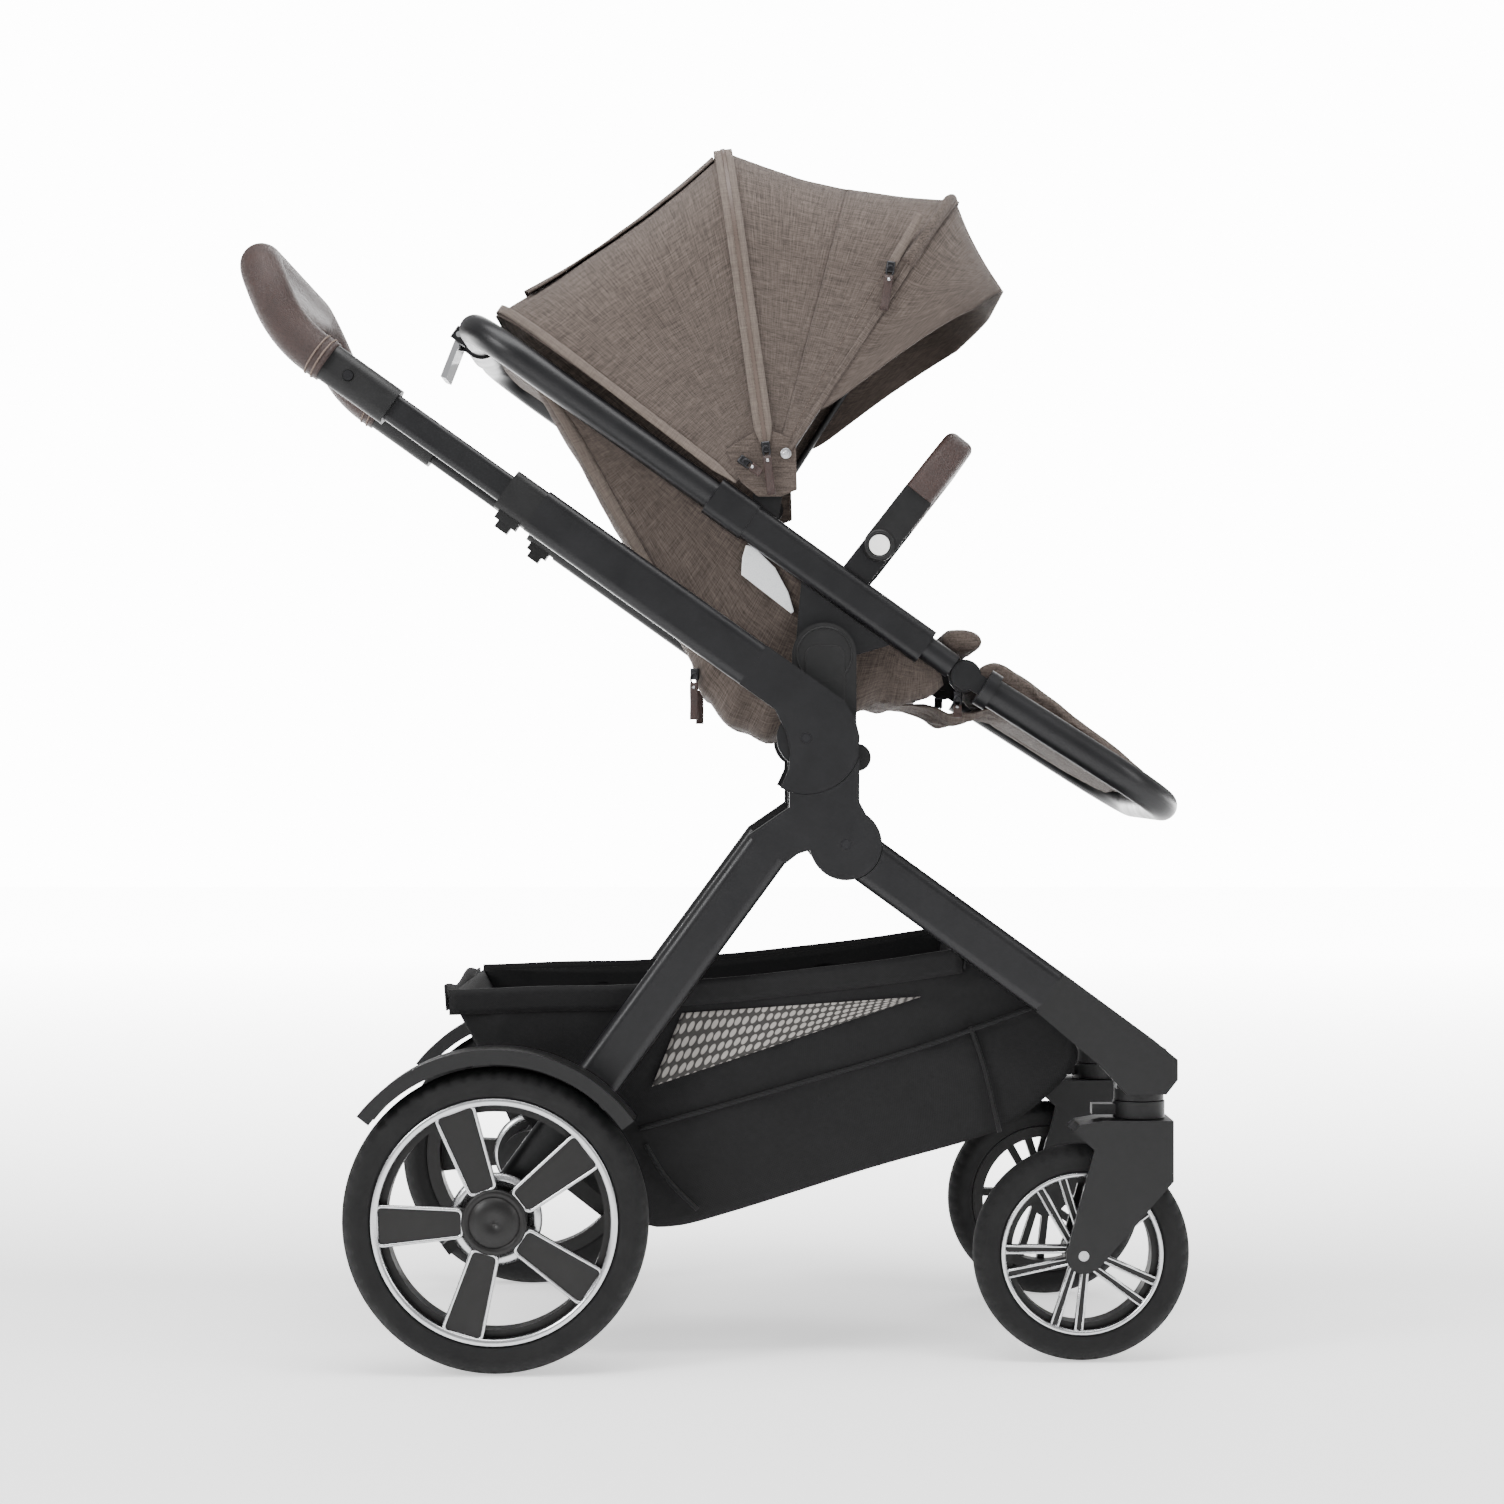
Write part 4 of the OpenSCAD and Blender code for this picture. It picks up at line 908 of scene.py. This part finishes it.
def bow_point(angle, reach, foot, share, lift=0.0):
    """A point on a U-shaped bow, by share of its length from the right foot to the left."""
    side_len = reach - hood_corner - foot
    turn_len = hood_corner * math.pi / 2
    top_len = 2 * (hood_half - hood_corner)
    total = 2 * side_len + 2 * turn_len + top_len
    mirror = 1 if share > 0.5 else -1
    d = total * (1 - share if share > 0.5 else share)
    if d < side_len:
        y, r = hood_half + lift, foot + d
    elif d < side_len + turn_len:
        a = (d - side_len) / hood_corner
        y = hood_half - hood_corner + (hood_corner + lift) * math.cos(a)
        r = reach - hood_corner + (hood_corner + lift) * math.sin(a)
    else:
        y, r = hood_half - hood_corner - (d - side_len - turn_len), reach + lift
    return hood_at + along(angle) * r + Vector((0, mirror * y, 0))


def hood_point(a1, r1, f1, a2, r2, f2, share, t, dip_mm, lift=0.0):
    """A point on the taut panel between two bows, which dips inwards between them."""
    p = bow_point(a1, r1, f1, share, lift).lerp(bow_point(a2, r2, f2, share, lift), t)
    inward = Vector((hood_at.x - p.x, 0, hood_at.z - p.z))
    top = max(0.0, min(1.0, (hood_half - abs(p.y)) / 0.08))
    dip = dip_mm / 1000 * math.sin(math.pi * t)
    p += unit(inward) * dip * top
    p.y *= 1 - 0.35 * dip / hood_half * (1 - top)
    drape = noise.noise(p * 13) * 0.0022 + noise.noise(p * 34) * 0.0007
    p += unit(inward) * drape * math.sin(math.pi * min(1, max(0, t)))
    return p


# each bow is its angle in degrees, its reach from the hinge and where its foot starts
rear_bow = (146, 0.322, 0.026)
mid_bow = (98, 0.338, 0.026)
front_bow = (57, 0.340, 0.026)
visor_bow = (40, 0.304, 0.110)
visor_root = (56.5, 0.338, 0.080)


def to_tube(p, t):
    """How far the rear edge is drawn down to the seat tube: more near the hinge than at the top."""
    spread = Vector((p.x - hood_at.x, 0, p.z - hood_at.z)).length
    return along(236) * (0.0225 - 0.0110 * min(1.0, spread / 0.31)) * max(0.0, 1 - t * 2.2) ** 2


def hood_panel(name, bow_a, bow_b, dip_mm, columns=120, steps=26, lift=0.0, from_t=0.0, to_t=1.0,
               trim=(0.0, 0.0), drawn=False):
    """trim is the share of the bow that is cut away at each foot, at the first and at the last row."""
    rows = []
    for i in range(steps + 1):
        cut = trim[0] + (trim[1] - trim[0]) * (i / steps) ** 2.6
        t = from_t + (to_t - from_t) * i / steps
        row = [hood_point(*bow_a, *bow_b, cut + (1 - 2 * cut) * j / columns, t, dip_mm, lift)
               for j in range(columns + 1)]
        rows.append([p + to_tube(p, t) for p in row] if drawn else row)
    panel = surface(name, rows, cloth_cover, 1.6)
    return panel


def band(name, bow, width_mm, lift_mm, body, material=None, from_share=0.0, to_share=1.0,
         columns=140, drawn=False):
    """A flat tape over a bow, following it from foot to foot."""
    angle, reach, foot = bow
    rows = []
    for k in (-1, -0.5, 0, 0.5, 1):
        row = []
        for j in range(columns + 1):
            share = from_share + (to_share - from_share) * j / columns
            p = bow_point(angle, reach, foot, share, lift_mm / 1000)
            reach_here = (Vector((p.x, 0, p.z)) - hood_at).length
            swing = math.degrees(k * width_mm / 2000 / max(reach_here, 0.05)) * min(1.0, reach_here / 0.05)
            turned = along(angle + swing) * reach_here
            q = Vector((hood_at.x + turned.x, p.y, hood_at.z + turned.z))
            row.append(q + to_tube(q, 0) if drawn else q)
        rows.append(row)
    tape_piece = surface(name, rows, material or tape, 1.4)
    if body:
        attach(tape_piece, body)
    return tape_piece


def zip_chain(name, bow, lift_mm, body, from_share=0.0, to_share=1.0, count=260):
    """Interlocked moulded teeth along the middle of a tape."""
    verts, faces = [], []
    angle, reach, foot = bow
    for j in range(count):
        share = from_share + (to_share - from_share) * j / (count - 1)
        a = bow_point(angle, reach, foot, share, lift_mm / 1000)
        b = bow_point(angle, reach, foot, min(share + 0.002, 1), lift_mm / 1000)
        t = unit(b - a)
        side = unit(t.cross(unit(a - hood_at))) * (0.0021 if j % 2 else 0.0016)
        lift = unit(side.cross(t)) * 0.0008
        k = len(verts)
        half = t * 0.0011
        verts += [a - half - side, a + half - side, a + half + side, a - half + side]
        verts += [v + lift for v in verts[-4:]]
        faces += [(k, k + 1, k + 2, k + 3), (k + 4, k + 7, k + 6, k + 5)]
        faces += [(k + i, k + 4 + i, k + 4 + (i + 1) % 4, k + (i + 1) % 4) for i in range(4)]
    chain = build(name, verts, faces, teeth, smooth=False)
    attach(chain, body)
    return chain


teeth = moulded_nylon("zip_teeth", "#4c413b", 0.45)


def puller(name, at, down, outward, body, length_mm=34):
    """A zip slider with a leather tag hanging from it on a wire loop."""
    down, outward = unit(Vector(down)), unit(Vector(outward))
    slider = sweep(name + "_slider",
                   [at - down * 0.005, at - down * 0.003, at + down * 0.004, at + down * 0.006],
                   rounded_box(0.0088, 0.0046, 0.0018), dark_screw, outward)
    start = at + outward * 0.0034
    loop = [start + down * 0.005 + down * 0.0055 * math.cos(a) + outward.cross(down) * 0.0034 * math.sin(a)
            for a in [2 * math.pi * i / 20 for i in range(21)]]
    wire = sweep(name + "_wire", loop, ring(0.0009, 8), dark_screw, outward, caps=False)
    tag_path = [start + down * (0.009 + length_mm / 1000 * i / 8) + outward * 0.0006 * math.sin(i)
                for i in range(9)]
    tag = sweep(name + "_tag", tag_path, rounded_box(0.0084, 0.0026, 0.0012), leather, outward)
    stud = sweep(name + "_stud", [tag_path[1] + outward * 0.0012, tag_path[1] + outward * 0.0026],
                 ring(0.0016, 16), steel, down)
    for piece in (slider, wire, tag, stud):
        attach(piece, body)


rear_panel = hood_panel("hood_rear_cloth", rear_bow, mid_bow, 11, drawn=True)
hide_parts("hood_rear_panel")
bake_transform(rear_panel)
main_dip_mm = 12
main_panel = hood_panel("hood_main_cloth", mid_bow, front_bow, main_dip_mm, steps=15, to_t=0.56)
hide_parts("hood_main_panel")
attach(main_panel, "mid_bow")
main_front = hood_panel("hood_main_front_cloth", mid_bow, front_bow, main_dip_mm, steps=12,
                        lift=0.0004, from_t=0.55)
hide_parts("hood_main_panel")
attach(main_front, "front_bow")
visor_panel = hood_panel("hood_visor_cloth", visor_root, visor_bow, 3, steps=16, trim=(0.0, 0.232))
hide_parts("hood_visor")
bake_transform(visor_panel)

band("hood_mid_tape", mid_bow, 18, 1.6, "mid_bow")
zip_chain("hood_mid_zip", mid_bow, 2.4, "mid_bow", 0.004, 0.996, 420)
band("hood_rear_tape", (144.6, 0.322, 0.026), 9, 1.6, "seat", drawn=True)
band("hood_front_hem", front_bow, 7, 1.4, "front_bow", cloth_cover)
for side, hand in both_sides:
    end_share = 0.006 if side < 0 else 0.994
    p = bow_point(*mid_bow, end_share, 0.004)
    puller(f"hood_mid_puller_{hand}", p, (0.12, 0, -1), (0, side, 0), "mid_bow", 38)
    p = bow_point(*rear_bow, end_share, 0.004)
    puller(f"hood_rear_puller_{hand}", p, along(-36), (0, side, 0), "seat", 12)

# ---- Hood flap and closures -----------------------------------------------
# A cloth flap laid over the rear panel, a rolled front edge, and moulded zips and steel
# snaps at the hinges. All are sewn or pressed into the panels.
rear_flap = hood_panel("hood_rear_flap", rear_bow, mid_bow, 10, lift=0.0034, from_t=0.10, to_t=0.955,
                       trim=(0.345, 0.350))
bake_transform(rear_flap)

# the front edge is turned back on itself over the bow, as a soft roll across the top
seat_zips = ((-0.0190, 0.6640, 36), (0.2380, 0.6420, 12))
for side, hand in both_sides:
    for x, z, length in seat_zips:
        puller(f"seat_puller_{round(x * 1000)}_{hand}".replace("-", "b"),
               Vector((x, side * 0.168, z)), (0, 0, -1), (-0.2, side, 0), "seat", length)
roll_path = [bow_point(57.6, 0.338, 0.026, 0.24 + 0.52 * i / 60) for i in range(61)]
roll = sweep("hood_front_fold", roll_path, ring(0.0062, 16, 1.25), cloth_plump, (0.3, 0.05, 1))
for vertex in roll.data.vertices:
    vertex.co.z += 0.0016 * noise.noise(vertex.co * 28)
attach(roll, "front_bow")


def on_main(angle, reach, side, lift_mm):
    """A point on the side wall of the main panel, by angle and distance from the hinge."""
    t = (mid_bow[0] - angle) / (mid_bow[0] - front_bow[0])
    y = hood_half * (1 - 0.35 * main_dip_mm / 1000 / hood_half * math.sin(math.pi * t)) + lift_mm / 1000
    return hood_at + along(angle) * reach + Vector((0, side * y, 0))


for side, hand in both_sides:
    # the second needle line, a finger's width behind the front edge
    line = [on_main(64.5 - 3.5 * (r - 0.05) / 0.19, r, side, 1.6)
            for r in [0.04 + 0.2 * k / 40 for k in range(41)]]
    seam = stitches(f"hood_topstitch_{hand}", line, (0, side, 0), thread, 4.2, 2.8, 0.9)
    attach(seam, "front_bow")
    snap_at = on_main(52, 0.034, side, 0.5) + Vector((-0.006, 0, -0.002))
    snap = lathe(f"hood_snap_{hand}", snap_at, [(0.0003, side * 0.0030), (0.0024, side * 0.0030),
                 (0.0030, side * 0.0018), (0.0046, side * 0.0026), (0.0054, side * 0.0014),
                 (0.0054, 0), (0.0003, 0)], steel, 40)
    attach(snap, "front_bow")
    bottom = [hood_at + along(165) * 0.030 + Vector((0, 0, -0.010)), hood_at + Vector((-0.012, 0, -0.0165)),
              hood_at + Vector((0.010, 0, -0.0165)), hood_at + Vector((0.026, 0, -0.010)),
              hood_at + along(57) * 0.045, hood_at + along(98) * 0.052, hood_at + along(146) * 0.052]
    gusset = extruded(f"hood_gusset_{hand}", [(p.x, p.z) for p in bottom], side * 0.1955, side * 0.1975,
                      cloth_plump, 0.8)
    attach(gusset, "seat")
    # short zip of the fold-out visor, with its own slider and tag
    zip_rows = []
    for k in (-1, 0, 1):
        zip_rows.append([on_main(60.5, 0.235 + 0.060 * j / 16, side, 2.0) + along(150) * 0.0045 * k
                         for j in range(17)])
    short_zip = surface(f"visor_zip_{hand}", zip_rows, tape, 1.2)
    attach(short_zip, "front_bow")
    puller(f"visor_puller_{hand}", on_main(60.5, 0.236, side, 4.5), (-0.15, 0, -1), (0, side, 0),
           "front_bow", 34)


# ---- Basket ---------------------------------------------------------------
# A black nylon bag under the frame: a stiffened rim band, panels joined with piping, and
# a window of open mesh in each side.


def ripstop(name, dark, light, uv=True):
    material, tree, shader = new_material(name, Roughness=0.75, IOR=1.35)
    shader.inputs["Sheen Weight"].default_value = 0.03
    where = add(tree, "ShaderNodeUVMap", {"uv_map": "cloth"}).outputs["UV"] if uv else place(tree)
    brick = add(tree, "ShaderNodeTexChecker", {"Scale": 0.9}, Vector=where)
    cloud = add(tree, "ShaderNodeTexNoise", {"Scale": 0.03, "Detail": 5.0}, Vector=where)
    shade = mix(tree, linear(dark), linear(light), cloud.outputs["Fac"])
    tree.links.new(mix(tree, shade, [c * 0.7 for c in linear(dark)[:3]] + [1.0], brick.outputs["Fac"]),
                   shader.inputs["Base Color"])
    bump(tree, shader, brick.outputs["Fac"], 0.06)
    return material


def open_mesh():
    material, tree, shader = new_material("open_mesh", Roughness=0.75)
    where = add(tree, "ShaderNodeUVMap", {"uv_map": "cloth"}).outputs["UV"]
    cell = add(tree, "ShaderNodeTexVoronoi", {"Scale": 0.125, "Randomness": 0.12}, Vector=where)
    hole = ramp(tree, cell.outputs["Distance"], 0.34, 0.42, 1.0, 0.0)
    tree.links.new(mix(tree, linear("#2a2826"), linear("#8e8a86"), hole), shader.inputs["Base Color"])
    bump(tree, shader, hole, -0.5)
    return material


nylon_cloth = ripstop("basket_nylon", "#060607", "#101012")
mesh_cloth = open_mesh()
piping = ripstop("basket_piping", "#0c0c0d", "#161618", uv=False)
basket_half = 0.1985
rim_from, rim_to = Vector((-0.256, 0, 0.352)), Vector((0.240, 0, 0.392))
keel = smooth_line([(-256, 352), (-228, 300), (-190, 240), (-130, 175), (-75, 134), (-40, 128),
                    (20, 143), (150, 184), (262, 216), (300, 236), (340, 272), (352, 300), (318, 340),
                    (270, 378), (240, 392)], 110)


def rim_at(t):
    """The rim in the side view, with a slight dip, from back to front."""
    p = rim_from.lerp(rim_to, t)
    p.z -= 0.010 * math.sin(math.pi * t)
    return p


def bag_point(i, s, lift=0.0):
    """Out on the right side wall: i along the keel, s from the rim to the keel."""
    low = keel[i]
    t = i / (len(keel) - 1)
    high = rim_at(t)
    p = high.lerp(low, s)
    bulge = 0.0015 * math.sin(math.pi * s) - 0.004 * s ** 3
    crease = (noise.noise(Vector((p.x * 9, p.z * 14, 2))) * 0.0050
              + noise.noise(Vector((p.x * 24, p.z * 30, 7))) * 0.0018)
    crease *= math.sin(math.pi * min(1, s * 1.05)) if s < 0.95 else 0.2
    return Vector((p.x, -(basket_half + bulge - abs(crease) * 1.4 + lift), p.z))


def bag_shell(name, side_steps=26, floor_steps=26):
    rows = []
    for i in range(len(keel)):
        wall = [bag_point(i, k / side_steps) for k in range(side_steps + 1)]
        low = wall[-1]
        floor_row = []
        for k in range(1, floor_steps):
            y = low.y + (-2 * low.y) * k / floor_steps
            sag = (0.004 * math.sin(math.pi * k / floor_steps)
                   + noise.noise(Vector((low.x * 14, y * 12, 5))) * 0.003)
            normal_down = unit(Vector((keel[i].x, 0, keel[i].z)) - rim_at(i / (len(keel) - 1)))
            floor_row.append(Vector((low.x, y, low.z)) + normal_down * sag)
        rows.append(wall + floor_row + [Vector((p.x, -p.y, p.z)) for p in reversed(wall)])
    return surface(name, rows, nylon_cloth, 1.2, -1.0)


bag = bag_shell("basket_bag")
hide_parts("basket")
parts = []
for side, hand in both_sides:
    rows = []
    for i in range(61):
        t = i / 60
        p = rim_at(t)
        wave = 0.0016 * noise.noise(Vector((p.x * 12, side, 0)))
        rows.append([Vector((p.x, side * (basket_half + 0.0035 + wave - 0.003 * k), p.z + 0.006 - 0.0245 * k
                     + 0.002 * noise.noise(Vector((p.x * 9, 3, 1))))) for k in (0, 0.25, 0.5, 0.75, 1)])
    parts.append(surface(f"basket_rim_{hand}", rows, nylon_cloth, 2.2))
    rows = []
    for i in range(49):
        u = i / 48
        top = Vector((-0.031 + 0.232 * u, 0, 0.3350 + 0.0160 * u))
        low = Vector((-0.060 + 0.261 * u, 0, 0.2640 + 0.0870 * u))
        rows.append([Vector((q.x, side * (basket_half + 0.0022), q.z)) for q in
                     [top.lerp(low, k / 14) for k in range(15)]])
    parts.append(surface(f"basket_window_{hand}", rows, mesh_cloth, 0.8))
    for k, line in enumerate((
            [(-73, 223), (-40, 232), (82, 267), (200, 302), (312, 342)],
            [(248, 322), (262, 280), (276, 220)], [(-66, 208), (-46, 176), (-16, 145)])):
        path = [Vector((p.x, side * (basket_half + 0.0030), p.z)) for p in smooth_line(line, 40)]
        parts.append(sweep(f"basket_piping_{k}_{hand}", path, ring(0.0022, 10), piping, (0, 1, 0.1)))
for end, t in (("back", 0.0), ("front", 1.0)):
    p = rim_at(t)
    rows = [[Vector((p.x + (0.004 if t else -0.004) * (1 - 0.5 * k), y / 1000,
                     p.z + 0.006 - 0.0245 * k + 0.004 * math.sin(y / 40))) for k in (0, 0.5, 1)]
            for y in range(-200, 201, 10)]
    parts.append(surface(f"basket_rim_{end}", rows, nylon_cloth, 2.2))
for piece in parts:
    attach(piece, "chassis")
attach(bag, "chassis")
for piece in [bag] + parts:
    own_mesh(piece)

# ---- Harness --------------------------------------------------------------
# Five-point webbing straps with stitched pads and one moulded buckle.
webbing = ripstop("strap_webbing", "#2a2725", "#3c3835")
inner = offset_line(low_line, 0.0375)


def strap(name, points, width_mm, thick_mm, material, across=(0, 1, 0)):
    rows = []
    for p in points:
        rows.append([p + Vector(across) * (width_mm / 1000 * (k / 6 - 0.5)) for k in range(7)])
    piece = surface(name, rows, material, thick_mm)
    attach(piece, "seat")
    return piece


for side, hand in both_sides:
    line = [Vector((p.x, side * (0.062 - 0.022 * i / 30), p.z)) for i, p in enumerate(inner[12:44])]
    strap(f"shoulder_strap_{hand}", line, 25, 1.6, webbing)
    pad_rows = [p + Vector((0.004, 0, 0.0024)) for p in line[4:20]]
    strap(f"shoulder_pad_{hand}", pad_rows, 44, 7, cloth_cover)
    waist = [Vector((0.052 + 0.02 * math.sin(a), side * (0.020 + 0.110 * a / 1.6),
                     0.640 + 0.006 * math.sin(a * 2))) for a in [1.6 * k / 20 for k in range(21)]]
    strap(f"waist_strap_{hand}", waist, 25, 1.6, webbing, (0.8, 0, 0.6))
buckle_at = Vector((0.058, 0, 0.6480))
crotch = [buckle_at.lerp(Vector((0.135, 0, 0.6640)), k / 12) + Vector((0, 0, 0.004 * math.sin(k / 4)))
          for k in range(13)]
strap("crotch_strap", crotch, 25, 2.0, webbing)
buckle = sweep("harness_buckle", [buckle_at - Vector((-0.002, 0, 0.008)) * s for s in (1, 0.6, -0.6, -1)],
               rounded_box(0.046, 0.050, 0.014), nylon, (0, 1, 0))
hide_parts("harness")
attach(buckle, "seat")
knob = sweep("buckle_button",
             [buckle_at + Vector((-0.0018, 0, 0.007)), buckle_at + Vector((-0.0024, 0, 0.0094))],
             ring(0.011, 32), nylon, (0, 1, 0))
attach(knob, "seat")
